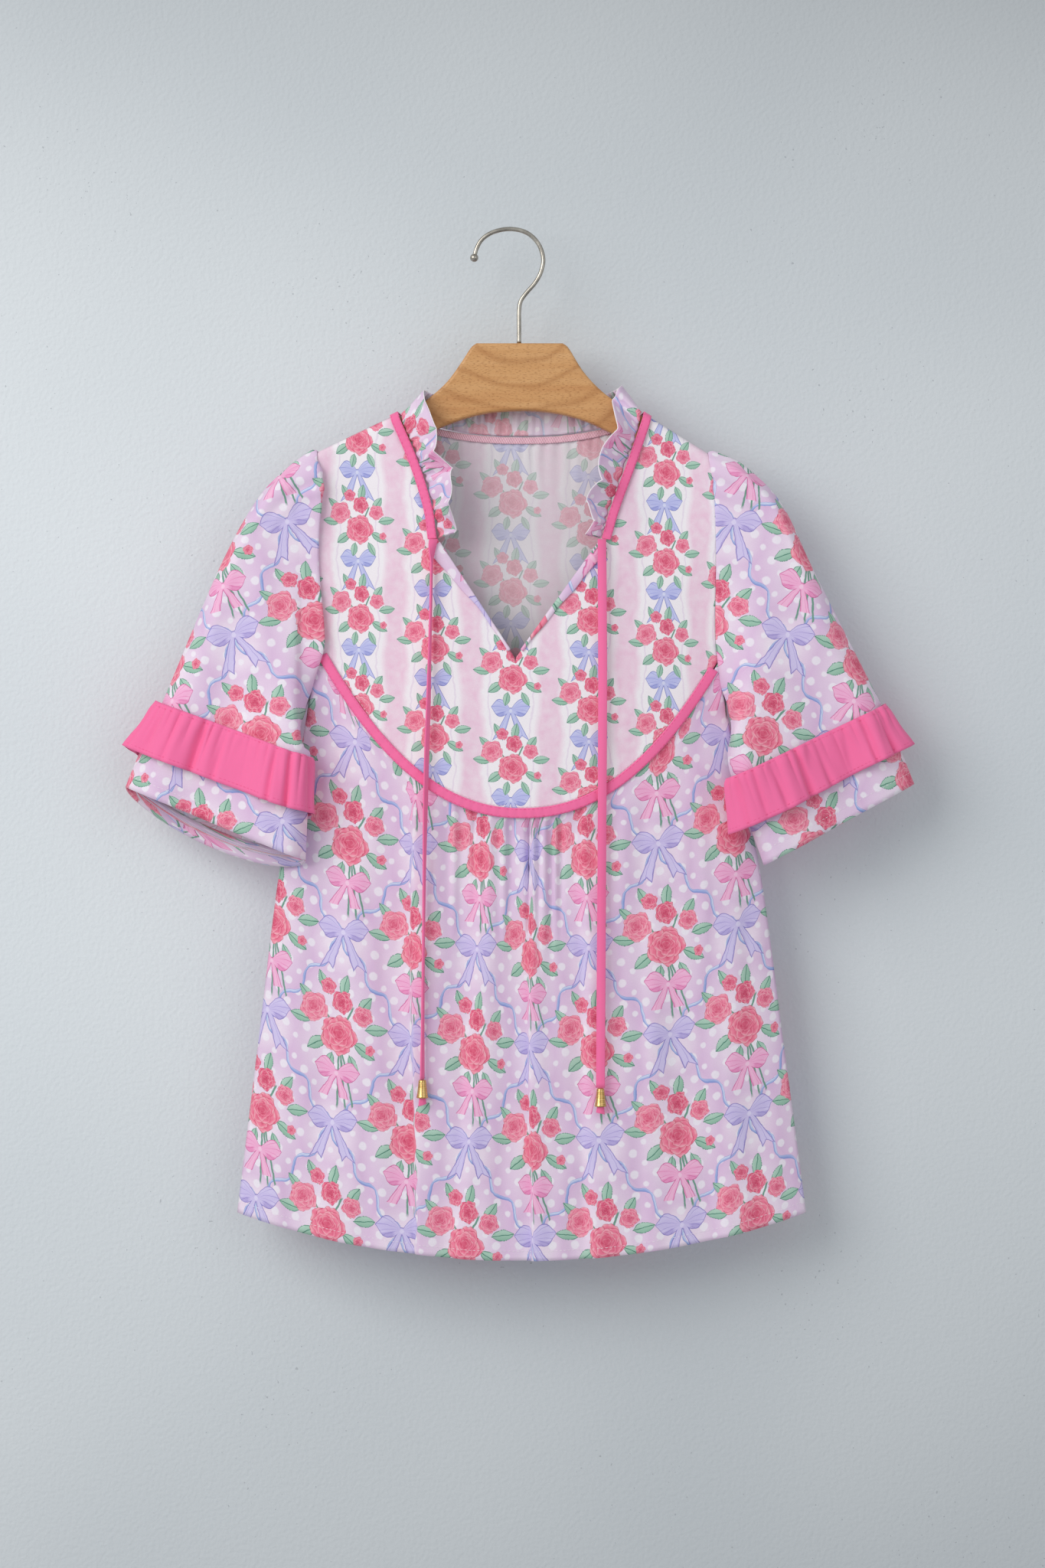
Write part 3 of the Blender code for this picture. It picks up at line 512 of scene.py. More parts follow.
def finish_piece(name, mesh, materials, wall=0.0):
    """Turn a mesh into a named piece, with a wall of cloth where it is asked for."""
    data = bpy.data.meshes.new(name)
    mesh.to_mesh(data)
    mesh.free()
    piece = bpy.data.objects.new(name, data)
    bpy.context.scene.collection.objects.link(piece)
    for material in materials:
        data.materials.append(material)
    if wall:
        thicken = piece.modifiers.new("wall", "SOLIDIFY")
        thicken.thickness = wall * MM
        thicken.offset = 0
        if len(materials) > 1:
            thicken.material_offset = 1
    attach(piece, "root")
    return piece


def close_ends(piece):
    """Cover the open ends of a tube and turn all its faces out."""
    mesh = bmesh.new()
    mesh.from_mesh(piece.data)
    bmesh.ops.holes_fill(mesh, edges=[e for e in mesh.edges if e.is_boundary], sides=0)
    bmesh.ops.recalc_face_normals(mesh, faces=mesh.faces)
    mesh.to_mesh(piece.data)
    mesh.free()


def turned_by(x, y, degrees):
    """Flat vector turned round the upright."""
    turn = math.radians(degrees)
    return Vector((x * math.cos(turn) - y * math.sin(turn), x * math.sin(turn) + y * math.cos(turn), 0))


def strip_section(share, width, depth):
    """Outline of a folded strip: an oblong with round edges and a groove where its edges meet."""
    angle = 2 * math.pi * share
    x = math.copysign(abs(math.cos(angle)) ** 0.55, math.cos(angle)) * width / 2
    y = math.copysign(abs(math.sin(angle)) ** 0.8, math.sin(angle)) * depth / 2
    return x, y * (1 - 0.3 * math.exp(-(((abs(x) - width * 0.36) / 0.5) ** 2)))


tie_pieces = {}
for side in ("left", "right"):
    path = tie_route(side, TIE_STEP)
    fine = tie_route(side, TIE_STEP / 3)

    def tie_point(around, down):
        spot = down * (len(fine) - 1)
        i = min(len(fine) - 2, int(spot))
        middle = fine[i].lerp(fine[i + 1], spot - i)
        wander = 7 * math.sin(down * 9 + (1.0 if side == "left" else 2.6))
        swing = TIE_TURN[side] + wander * (1.6 if side == "left" else 1.0)
        x, y = strip_section(around, TIE_WIDTH, TIE_DEPTH)
        return middle + turned_by(x, y, mix(20, swing, ease(down / 0.05)))

    tie = grid_piece(
        "tie_strip_" + side, spread(0, 1, 20), spread(0, 1, 110), tie_point,
        lambda around, down, place: (around * TIE_ROUND, down * TIE_LENGTH), [trim_pink], 0.0, True,
    )
    close_ends(tie)
    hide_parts("tie_" + side)
    tie_pieces[side] = (tie, path)


# Tips: a spun brass bell on each tie, and below it the folded end of the strip, cut at a slant.
# The bell is pushed up over the strip and gripped there, so the end shows in its mouth.
brass, shader, where = new_material("tip_brass")
lines = speckle(stretched(where, 120.0, 120.0, 2600.0), 1.0, 2.0)
paint(shader, base_color=shade(lines, (0.3, "b98a45"), (0.7, "f0cf8e")))
paint(shader, roughness=grown(lines, 0.2, 0.14), metallic=1.0)
BELL = (
    (0.0, 0.0), (1.9, 0.0), (2.6, -0.25), (2.95, -0.8), (3.05, -1.6), (3.2, -3.2), (3.42, -5.5),
    (3.75, -8.4), (4.15, -11.4), (4.4, -12.9), (4.6, -13.4), (4.62, -13.9), (4.45, -14.3), (4.1, -14.4),
    (3.8, -14.2), (3.6, -12.5), (0.0, -12.2),
)
for side in ("left", "right"):
    tie, path = tie_pieces[side]
    top = path[-1] - Vector((0, 0, 0.3))
    mesh = bmesh.new()
    verts = [mesh.verts.new((top + Vector((radius, 0, height))) * MM) for radius, height in BELL]
    edges = [mesh.edges.new(pair) for pair in zip(verts, verts[1:])]
    bmesh.ops.spin(
        mesh, geom=verts + edges, cent=top * MM, axis=(0, 0, 1), angle=2 * math.pi, steps=48, use_merge=True
    )
    bmesh.ops.remove_doubles(mesh, verts=mesh.verts, dist=1e-6)
    bmesh.ops.recalc_face_normals(mesh, faces=mesh.faces)
    for face in mesh.faces:
        face.smooth = True
    bell = finish_piece("tie_bell_" + side, mesh, [brass])
    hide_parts("tie_tip_" + side)

    def tail_point(around, down):
        x, y = strip_section(around, mix(5.2, 7.0, down), 3.0)
        slant = -0.24 * OUT[side] * x * down
        z = mix(-TIP_LENGTH + 0.4, -TIP_LENGTH - 5.4, down) + slant
        return top + turned_by(x, y, 35 if side == "left" else 10) + Vector((0, 0, z))

    tail = grid_piece(
        "tie_tail_" + side, spread(0, 1, 24), spread(0, 1, 8), tail_point,
        lambda u, v, place: (u * 16, v * 6), [trim_pink], 0.0, True,
    )
    close_ends(tail)
    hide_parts("tie_end_" + side)
    length = sum((b - a).length for a, b in zip(path, path[1:])) * MM
    tuple(path[0] * MM)
    [tuple(p * MM) for p in path]


# Wall and light: a pale grey-blue plaster wall close behind, which sweeps out into a floor far below.
# A large soft light stands to the left, and a weak one fills from the right.
WALL_Y = 46.0
plaster, shader, where = new_material("wall_plaster")
pits = speckle(where, 330.0, 1.0)
pit = calc("GREATER_THAN", grown(speckle(where, 7.0, 0.0), 0.22, pits), 0.905)
tone = shade(speckle(where, 3.0, 1.0), (0.3, "d7dde1"), (0.7, "e0e5e8"))
# Painted shade: the plaster is darkened towards the top and bottom of the wall and a little towards the
# right, a falloff of the light painted into its colour.
x, z = parts_of(where, "XZ")
away = z + 0.40
far = away * away * grown(away, 0.25, 0.58)
far = calc("ADD", far, grown(x, 0.13, 0.035), clamp=True)
tone = tint(far, tone, (0.0, 0.0, 0.0, 1.0))
paint(shader, base_color=tint(pit * 0.45, tone, srgb("8d9197")), roughness=0.9)
emboss(shader, speckle(where, 300.0, 1.0), 0.5)
nodes = plaster.node_tree.nodes
seen_from_behind = Wire(nodes.new("ShaderNodeNewGeometry").outputs["Backfacing"])
bounced = Wire(nodes.new("ShaderNodeLightPath").outputs["Is Diffuse Ray"])
either = add_node("MixShader", most(seen_from_behind, bounced))
join(Wire(shader.outputs[0]), either.inputs[1])
join(Wire(nodes.new("ShaderNodeBsdfTransparent").outputs[0]), either.inputs[2])
join(Wire(either.outputs[0]), nodes["Material Output"].inputs["Surface"])
mesh = bmesh.new()
WALL_TOP = 1500.0
BEND_TOP = -1250.0
BEND = 300.0
SWEEP = [(WALL_Y, WALL_TOP), (WALL_Y, BEND_TOP)]
for angle in spread(0.15, math.pi / 2, 8):
    SWEEP.append((WALL_Y - BEND + BEND * math.cos(angle), BEND_TOP - BEND * math.sin(angle)))
SWEEP.append((-4200.0, BEND_TOP - BEND))
profile = [mesh.verts.new((-3.0, y * MM, z * MM)) for y, z in SWEEP]
edges = [mesh.edges.new(pair) for pair in zip(profile, profile[1:])]
made = bmesh.ops.extrude_edge_only(mesh, edges=edges)
bmesh.ops.translate(
    mesh, verts=[v for v in made["geom"] if isinstance(v, bmesh.types.BMVert)], vec=(6.0, 0, 0)
)
for face in mesh.faces:
    face.smooth = True
mesh.normal_update()
if sum(face.normal.y for face in mesh.faces) > 0:
    bmesh.ops.reverse_faces(mesh, faces=mesh.faces)
data = bpy.data.meshes.new("wall_and_floor")
mesh.to_mesh(data)
mesh.free()
data.materials.append(plaster)
backdrop = bpy.data.objects.new("wall_and_floor", data)
bpy.context.scene.collection.objects.link(backdrop)

world = bpy.data.worlds.new("soft_room")
world.use_nodes = True
world.node_tree.nodes["Background"].inputs["Color"].default_value = (0.93, 0.965, 1.0, 1)
world.node_tree.nodes["Background"].inputs["Strength"].default_value = 0.52
bpy.context.scene.world = world
Lamp = namedtuple("Lamp", "name place size power colour")
LAMPS = (
    Lamp("window", (-2.1, -2.4, 0.9), 2.4, 66.0, (1.0, 0.985, 0.965)),
    Lamp("fill", (1.6, -2.8, 0.3), 2.4, 10.0, (0.97, 0.98, 1.0)),
)
for lamp in LAMPS:
    light = bpy.data.objects.new(lamp.name, bpy.data.lights.new(lamp.name, "AREA"))
    light.data.shape = "SQUARE"
    light.data.size = lamp.size
    light.data.energy = lamp.power
    light.data.color = lamp.colour
    light.location = lamp.place
    aim = Vector((0.0, 0.0, -0.43)) - Vector(lamp.place)
    light.rotation_euler = aim.to_track_quat("-Z", "Y").to_euler()
    bpy.context.scene.collection.objects.link(light)


# Hanger: a flat beech board, sawn to shape, its edges rounded over and its faces satin varnished.
# The grain runs across, with the arched rings that a slab-sawn board shows and short beech flecks.
beech, shader, where = new_material("beech")
sway = speckle(where, 11.0, 2.0)
growth = grown(sway, 0.035, length_of(stretched(where, 0.85, 0.5, 1.0, start=(0.0, 0.0, 0.045))))
soft_ring = calc("POWER", abs(sine(growth * 150.0)), 14.0)
flecks = speckle(stretched(where, 330.0, 500.0, 2100.0), 1.0, 1.0)
fleck = calc("MULTIPLY", calc("SUBTRACT", flecks, 0.58, clamp=True), 9.0, clamp=True)
fibre = speckle(stretched(where, 9.0, 120.0, 160.0), 1.0, 3.0)
wood = shade(fibre, (0.3, "c78d55"), (0.5, "d09a61"), (0.7, "d6a36c"))
wood = tint(soft_ring * 0.42, wood, srgb("a4672f"))
wood = tint(fleck * 0.55, wood, srgb("a0622f"))
paint(shader, base_color=wood, roughness=grown(fleck, 0.15, 0.42), coat_weight=0.12, coat_roughness=0.35)
emboss(shader, fleck, -0.12)
BOARD = 12.0
BOARD_EDGE = 2.4
HANGER_CORNERS = {(-27.0, -88.8), (41.0, -88.8)}
HANGER = (
    (-27.0, -88.8), (41.0, -88.8), (46.0, -93.0), (56.5, -110.0), (69.0, -124.0), (83.0, -134.8),
    (106.0, -147.8), (130.0, -162.8), (154.0, -177.2), (163.0, -183.6), (169.0, -191.0), (171.0, -199.0),
    (168.0, -206.5), (161.0, -209.0), (153.0, -206.8), (125.0, -188.0), (100.0, -171.0), (74.0, -156.8),
    (58.0, -149.8), (40.0, -144.8), (20.0, -142.2), (2.0, -142.0), (-16.0, -143.4), (-32.0, -146.8),
    (-48.0, -152.2), (-64.5, -159.2), (-100.0, -176.5), (-142.0, -199.2), (-150.0, -202.0),
    (-158.0, -200.2), (-162.0, -194.0), (-160.4, -186.0), (-154.0, -179.0), (-146.0, -173.4),
    (-118.0, -161.0), (-92.0, -149.4), (-80.0, -143.6), (-64.0, -131.8), (-50.0, -119.0),
    (-39.0, -104.0), (-31.5, -92.5),
)
outline = []
for i, (x, z) in enumerate(HANGER):
    ahead = HANGER[(i + 1) % len(HANGER)]
    if (x, z) in HANGER_CORNERS and ahead in HANGER_CORNERS:
        outline += [Vector((x, z)), Vector(ahead)]
        continue
    span = [Vector(HANGER[(i + k) % len(HANGER)]) for k in (-1, 0, 1, 2)]
    if (x, z) in HANGER_CORNERS:
        span[0] = span[1] * 2 - span[2]
    if ahead in HANGER_CORNERS:
        span[3] = span[2] * 2 - span[1]
    for s in (0.0, 0.25, 0.5, 0.75):
        point = between(*span, s)
        if not outline or (outline[-1] - point).length > 0.2:
            outline.append(point)
mesh = bmesh.new()
rim = [mesh.verts.new((p.x * MM, -BOARD / 2 * MM, p.y * MM)) for p in outline]
front = mesh.faces.new(rim)
made = bmesh.ops.extrude_face_region(mesh, geom=[front])
bmesh.ops.translate(
    mesh, verts=[v for v in made["geom"] if isinstance(v, bmesh.types.BMVert)], vec=(0, BOARD * MM, 0)
)
bmesh.ops.recalc_face_normals(mesh, faces=mesh.faces)
edges = [e for e in mesh.edges if abs(e.verts[0].co.y - e.verts[1].co.y) < 1e-6]
bmesh.ops.bevel(
    mesh, geom=edges, offset=BOARD_EDGE * MM, segments=5, profile=0.5, affect="EDGES", material=-1,
    clamp_overlap=True,
)
for face in mesh.faces:
    face.smooth = len(face.verts) < 8
board = finish_piece("hanger_board", mesh, [beech])
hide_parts("hanger_wood")

# Hook: satin nickel wire of 3.5 mm, bent to shape, with a small ball on its free end. It is screwed
# into the middle of the board's top edge.
nickel, shader, where = new_material("hook_nickel")
smudge = speckle(where, 180.0, 3.0)
paint(shader, base_color=shade(smudge, (0.3, "a39d93"), (0.7, "c4beb3")))
paint(shader, roughness=grown(smudge, 0.2, 0.2), metallic=1.0)
WIRE = 3.5
BALL = 6.6
HOOK = (
    (-28.8, -21.0), (-27.0, -13.8), (-22.2, -6.0), (-13.0, -0.4), (0.0, 1.75), (12.6, -1.2), (21.6, -9.6),
    (25.6, -21.0), (24.0, -31.8), (19.2, -40.8), (12.6, -48.4), (7.9, -55.2), (6.6, -63.0), (6.6, -76.0),
    (6.6, -88.6),
)
route = smooth_route([Vector((x, 0, z)) for x, z in HOOK], 2.0)
mesh = bmesh.new()
rings = []
for i, spot in enumerate(route):
    ahead = route[min(i + 1, len(route) - 1)] - route[max(i - 1, 0)]
    ring = set(bmesh.ops.create_circle(mesh, segments=20, radius=WIRE / 2 * MM)["verts"])
    across = ahead.cross(Vector((0, 1, 0))).normalized()
    for vert in ring:
        vert.co = spot * MM + across * vert.co.x + Vector((0, vert.co.y, 0))
    rings.append([e for e in mesh.edges if ring.issuperset(e.verts)])
for low, high in zip(rings, rings[1:]):
    bmesh.ops.bridge_loops(mesh, edges=low + high)
bmesh.ops.holes_fill(mesh, edges=[e for e in mesh.edges if e.is_boundary], sides=0)
made = bmesh.ops.create_uvsphere(mesh, u_segments=32, v_segments=20, radius=BALL / 2 * MM)
bmesh.ops.translate(mesh, verts=made["verts"], vec=route[0] * MM)
bmesh.ops.recalc_face_normals(mesh, faces=mesh.faces)
for face in mesh.faces:
    face.smooth = True
hook = finish_piece("hanger_wire_hook", mesh, [nickel])
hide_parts("hanger_hook")


# Yokes: the smooth top of the blouse, front and back, cut from a striped rose print. The front one
# has the V slit and is rounded below; the back one ends in a straight seam. Both are sewn to the
# rest with narrow seams, and the printed flowers are drawn here with curves of a simple kind.
def rise(value, low, high):
    """Share from 0 to 1 as a value goes from low to high."""
    return calc("MULTIPLY_ADD", value, 1 / (high - low), -low / (high - low), clamp=True)


def placed(vector, place, turn=0.0, size=(1.0, 1.0)):
    """Coordinates of a motif that is moved, turned in degrees and sized."""
    node = add_node("Mapping", vector)
    node.vector_type = "TEXTURE"
    node.inputs["Location"].default_value = (*place, 0.0)
    node.inputs["Rotation"].default_value = (0.0, 0.0, math.radians(turn))
    node.inputs["Scale"].default_value = (*size, 1.0)
    return Wire(node.outputs[0])


# Rose head of radius 1: rows of scalloped petals, each pale at its rim and deep at its base
PetalRow = namedtuple("PetalRow", "petals turn reach bulge up")
PETAL_ROWS = (
    PetalRow(5, 0.4, 0.82, 0.18, 0.0), PetalRow(5, 1.45, 0.68, 0.16, 0.02),
    PetalRow(5, 0.1, 0.54, 0.13, 0.06), PetalRow(4, 1.0, 0.40, 0.12, 0.09),
    PetalRow(4, 0.3, 0.27, 0.10, 0.11), PetalRow(3, 0.9, 0.14, 0.07, 0.12),
)
rose_head, enter, leave = new_group(
    "rose head",
    [("Place", "Vector"), ("Light", "Color"), ("Deep", "Color")],
    [("Colour", "Color"), ("Inside", "Float")],
)
fall = inside = None
loose = wandering(enter["Place"], 2.6, 1.0, 0.30)
for row in PETAL_ROWS:
    spot = calc_vector("SUBTRACT", loose, (0.0, row.up, 0.0))
    x, y = parts_of(spot)
    away = length_of(spot)
    angle = grown(away, 0.6, calc("ARCTAN2", y, x))
    lobe = sine(grown(angle, row.petals / 2, row.turn))
    lobe = abs(lobe)
    share = away / grown(lobe, row.bulge, row.reach)
    if fall is None:
        fall, inside = share, rise(share, 1.0, 0.97)
    else:
        fall = blend(calc("LESS_THAN", share, 1.0), fall, share)
stroke = speckle(scaled(enter["Place"], 3.4), 1.0, 1.0)
depth = rise(fall, 0.86, 0.60) * rise(stroke, 0.34, 0.62)
petal = tint(depth * 0.72, enter["Light"], enter["Deep"])
pale = rise(fall, 0.80, 0.93) * rise(stroke, 0.66, 0.40)
petal = tint(pale * 0.65, petal, srgb("ffcdd4"))
deepening = rise(away, 0.45, 0.05) * 0.45
petal = tint(deepening, petal, enter["Deep"])
rim = rise(fall, 0.94, 0.975) * grown(stroke, 1.1, 0.15)
join(tint(least(rim, 0.85), petal, enter["Deep"]), leave["Colour"])
join(inside, leave["Inside"])

# Bow of half-width 1: two loops, a knot and two notched tails, with fine creases out of the knot
bow, enter, leave = new_group("bow", [("Place", "Vector")], [("Tone", "Float"), ("Inside", "Float")])
x, y = parts_of(enter["Place"])
side = abs(x)
lift = grown(side, 0.14, 0.06)
from_middle = abs(y - lift)
plump = side * (1.06 - side)
lobes = sine(calc("ARCTAN2", y, side) * 7.0)
plump = plump * grown(lobes, -0.09, 1.0)
loop = grown(plump, 1.5, from_middle * -1.0)
down = y * -1.0
tail_middle = grown(down, 0.46, 0.05)
tail_gap = abs(side - tail_middle)
tail_width = grown(down, 0.13, 0.10)
tail_end = grown(tail_gap, 0.8, 1.22) - down
tail = least(tail_width - tail_gap, tail_end)
tail = least(tail, down)
knot = 0.16 - length_of(enter["Place"])
edge = most(most(loop, tail), knot)
bend = grown(side, 0.35, calc("ARCTAN2", y, side))
ray = abs(sine(bend * 11.0))
ray = rise(ray, 0.20, 0.05)
hollow = grown(plump, 0.75, from_middle * -1.0)
tone = grown(ray, -0.34, 0.76)
tone = tone - rise(hollow, -0.02, 0.06) * 0.08
under = grown(side, -0.34, lift) - y
tucked = rise(under, 0.0, 0.03) * rise(loop, 0.0, 0.03)
tucked = tucked * rise(side, 0.25, 0.4)
tone = tone - tucked * 0.26
tone = tone * rise(edge, 0.005, 0.05)
tone = most(tone, rise(knot, 0.02, 0.08) * 0.9)
join(tone, leave["Tone"])
join(rise(edge, -0.012, 0.012), leave["Inside"])

# Bouquet round a rose of radius 1: smaller roses and buds above it, leaves behind, stems below
Bloom = namedtuple("Bloom", "x y size turn light deep")
BLOOMS = (
    Bloom(0.12, 0.0, 1.0, 0, "f9809d", "cf1250"), Bloom(-1.22, 1.12, 0.76, 60, "fb90ab", "d62a60"),
    Bloom(0.22, 1.62, 0.58, 140, "f2668a", "be1148"), Bloom(1.30, 1.10, 0.52, 200, "fa87a5", "cd2158"),
    Bloom(-0.54, 2.24, 0.42, 20, "f57496", "c5194e"), Bloom(1.76, -0.46, 0.26, 80, "f67c9a", "ca2258"),
)
Leaf = namedtuple("Leaf", "x y turn length width")
LEAVES = (
    Leaf(1.25, -0.55, -32, 0.62, 0.30), Leaf(1.95, 0.55, 8, 0.60, 0.28), Leaf(1.50, 1.65, 48, 0.58, 0.27),
    Leaf(0.55, 2.40, 70, 0.60, 0.27), Leaf(0.62, -1.30, -70, 0.50, 0.24),
)
bouquet, enter, leave = new_group(
    "bouquet", [("Place", "Vector"), ("Stems", "Float")], [("Colour", "Color"), ("Inside", "Float")]
)
x, y = parts_of(enter["Place"])
side = abs(grown(y, 0.16, x - 0.14))
folded = vector_of(side, y)
spot = best = None
for leaf in LEAVES:
    local = placed(folded, (leaf.x, leaf.y), leaf.turn, (leaf.length, leaf.width))
    lx, ly = parts_of(local)
    field = lx * lx * -1.0
    field = field + 1.0 - abs(ly)
    if best is None:
        spot, best = local, field
    else:
        spot = blend(calc("GREATER_THAN", field, best), spot, local, "VECTOR")
        best = most(field, best)
lx, ly = parts_of(spot)
rib = abs(ly)
saw = calc("FRACT", (lx - rib) * 4.0)
best = grown(saw, -0.10, best)
vein = sine((lx - rib) * 18.0)
vein = rise(abs(vein), 0.45, 0.1)
green = grown(vein, -0.22, 0.62)
green = grown(ly, 0.16, green)
green = green * rise(rib, 0.02, 0.10)
green = green * rise(best, 0.0, 0.14)
foliage = shade(green, (0.0, "3d7766"), (0.3, "76ab94"), (0.52, "9cc6af"), (0.8, "c3e0d0"))
stem = side - grown(y, -0.13, -0.02)
stem = least(abs(stem), side)
stem_share = least(rise(stem, 0.06, 0.035), rise(y, -3.5, -3.3))
stem_share = stem_share * rise(y, -0.8, -0.9)
stem_share = stem_share * enter["Stems"]
branch = abs(grown(y, -0.62, side))
branch = rise(branch, 0.07, 0.04) * rise(y, 0.4, 0.5)
branch = branch * rise(y, 1.5, 1.4)
stem_share = most(stem_share, branch)
leaf_share = rise(best, -0.02, 0.02)
spot = nearest = light = deep = None
for bloom in BLOOMS:
    local = placed(enter["Place"], (bloom.x, bloom.y), bloom.turn, (bloom.size, bloom.size))
    gap = length_of(local)
    if spot is None:
        spot, nearest, light, deep = local, gap, srgb(bloom.light), srgb(bloom.deep)
    else:
        closer = calc("LESS_THAN", gap, nearest)
        spot = blend(closer, spot, local, "VECTOR")
        light = tint(closer, light, srgb(bloom.light))
        deep = tint(closer, deep, srgb(bloom.deep))
        nearest = least(gap, nearest)
head = use_group(rose_head, spot, light, deep)
colour = tint(leaf_share, srgb("6f9f8b"), foliage)
colour = tint(head["Inside"], colour, head["Colour"])
join(colour, leave["Colour"])
inside = most(most(leaf_share, stem_share), head["Inside"])
join(inside, leave["Inside"])

# Striped rose print, in millimetres of cloth: columns of bouquets and bows 62 mm apart on white,
# with soft pink watercolour stripes between them
COLUMN = 62.0
REPEAT = 70.0
yoke_print, enter, leave = new_group("striped rose print", [("Cloth", "Vector")], [("Colour", "Color")])
place = scaled(enter["Cloth"], 1000.0)
x, y = parts_of(place)
wash = speckle(place, 0.13, 3.0)
waver = grown(wash, 9.0, -4.5)
between = wrap(x + COLUMN / 2, COLUMN / 2, -COLUMN / 2)
between = abs(between + waver * 0.5)
ripple = sine(y * 0.115) * 1.6
between = between + ripple
stripe = rise(between + waver * 0.5, 11.5, 6.5)
stripe = stripe * grown(wash, 1.0, 0.2)
line = abs(between - 14.5)
colour = tint(stripe, srgb("faf4f8"), srgb("f1c6dd"))
fine_line = rise(line, 0.9, 0.4) * 0.45
colour = tint(fine_line, colour, srgb("e2cfe6"))
column = calc("ROUND", x / COLUMN)
from_column = x - column * COLUMN
stepped = grown(column, 24.0, y)
at_flowers = wrap(stepped, REPEAT / 2, -REPEAT / 2)
at_bow = wrap(stepped + REPEAT / 2, REPEAT / 2, -REPEAT / 2)
flowers = scaled(vector_of(from_column, at_flowers + 4.0), 1 / 12.0)
bunch = use_group(bouquet, flowers, 0.0)
bow_at = placed(vector_of(from_column, at_bow), (0.0, 6.0), 0, (14.5, 16.0))
knot = use_group(bow, bow_at)
knot_colour = shade(knot["Tone"], (0.0, "5f6dbb"), (0.36, "8f97d8"), (0.62, "b9bdf0"), (0.9, "dcdff9"))
colour = tint(knot["Inside"], colour, knot_colour)
colour = tint(bunch["Inside"], colour, bunch["Colour"])
join(colour, leave["Colour"])


def print_cotton(name, group, fade):
    """Cotton with a print: fade is how far its colour is lost on the wrong side."""

    def colour_at(place):
        colour = use_group(group, place)["Colour"]
        return tint(fade, colour, srgb("d8d3d6")) if fade else colour

    return cotton(name, colour_at, 1.3, 0.82, 0.1)


yoke_cotton = print_cotton("yoke_cotton", yoke_print, 0.0)
yoke_wrong_side = print_cotton("yoke_wrong_side", yoke_print, 0.55)
WALL = 0.8
SEAM = 0.35
LAP = 1.6
YOKE_LOW = -459.0
YOKE_CENTRE = 9.0
YOKE_RISE = 0.00183
YOKE_POWER = 2.2
BACK_SEAM = -345.0
BACK_NECK_DROP = 17.0
NeckRow = namedtuple("NeckRow", "height left right")
NECK = (
    NeckRow(-144.5, -89.0, 105.0),
    NeckRow(-182.0, -73.0, 92.0),
    NeckRow(-219.0, -61.5, 78.5),
    NeckRow(-243.6, -58.0, 71.4),
)
SLIT_TOP = -243.6
SLIT_POINT = -337.8
SLIT_X = 3.6


def neck_edge(z, side):
    """Sideways place of the neck edge, the slit below it and the middle line below that."""
    if z >= SLIT_TOP:
        return along(NECK, side, z)
    if z <= SLIT_POINT:
        return SLIT_X
    return mix(getattr(NECK[-1], side), SLIT_X, (SLIT_TOP - z) / (SLIT_TOP - SLIT_POINT))


def yoke_seam(x):
    """Height of the front yoke seam."""
    return YOKE_LOW + YOKE_RISE * abs(x - YOKE_CENTRE) ** YOKE_POWER


def yoke_slope(x):
    """Slope of the front yoke seam."""
    reach = abs(x - YOKE_CENTRE)
    return math.copysign(YOKE_RISE * YOKE_POWER * reach ** (YOKE_POWER - 1), x - YOKE_CENTRE)


def seam_meets_armhole(side, face):
    """Point where the yoke seam of a face meets the armhole."""
    z = BACK_SEAM
    for _ in range(12):
        x = along(BODY, side, z)
        z = yoke_seam(x) if face < 0 else BACK_SEAM
    return x, z


def coons(top, bottom, left, right, u, v):
    """Flat point of a four-sided patch, from its four edges."""
    corners = (
        ((1 - u) * (1 - v), top(0)), (u * (1 - v), top(1)),
        ((1 - u) * v, bottom(0)), (u * v, bottom(1)),
    )
    point = []
    for axis in (0, 1):
        value = (1 - v) * top(u)[axis] + v * bottom(u)[axis]
        value += (1 - u) * left(v)[axis] + u * right(v)[axis]
        value -= sum(weight * corner[axis] for weight, corner in corners)
        point.append(value)
    return point


def draped(x, z, face, lift=0.0):
    """Point of the body as the cloth lies, with its small soft hollows, moved out by lift."""
    place = body_point(x, z, face, lift)
    room = min(1.0, max(0.0, abs(place.y) - 3) / 10)
    swell = noise.noise(Vector((x / 46, z / 105, 3.1 * face)))
    swell += 0.45 * noise.noise(Vector((x / 19, z / 44, 7.3 * face)))
    place.y += face * room * 1.3 * (swell - 0.2)
    return place


def side_turn(x, z, face):
    """Cloth that is hidden from the front because it turns away towards the side."""
    offset, across, full = section_at(x, z, face)
    return math.copysign(0.55 * full * (1 - (1 - across**FLATNESS) ** EDGE_TURN), offset)


def body_flat(u, v, place):
    """Place in the cut of a point of the smooth body."""
    face = -1 if place.y < 0 else 1
    return place.x + side_turn(place.x, place.z, face), place.z


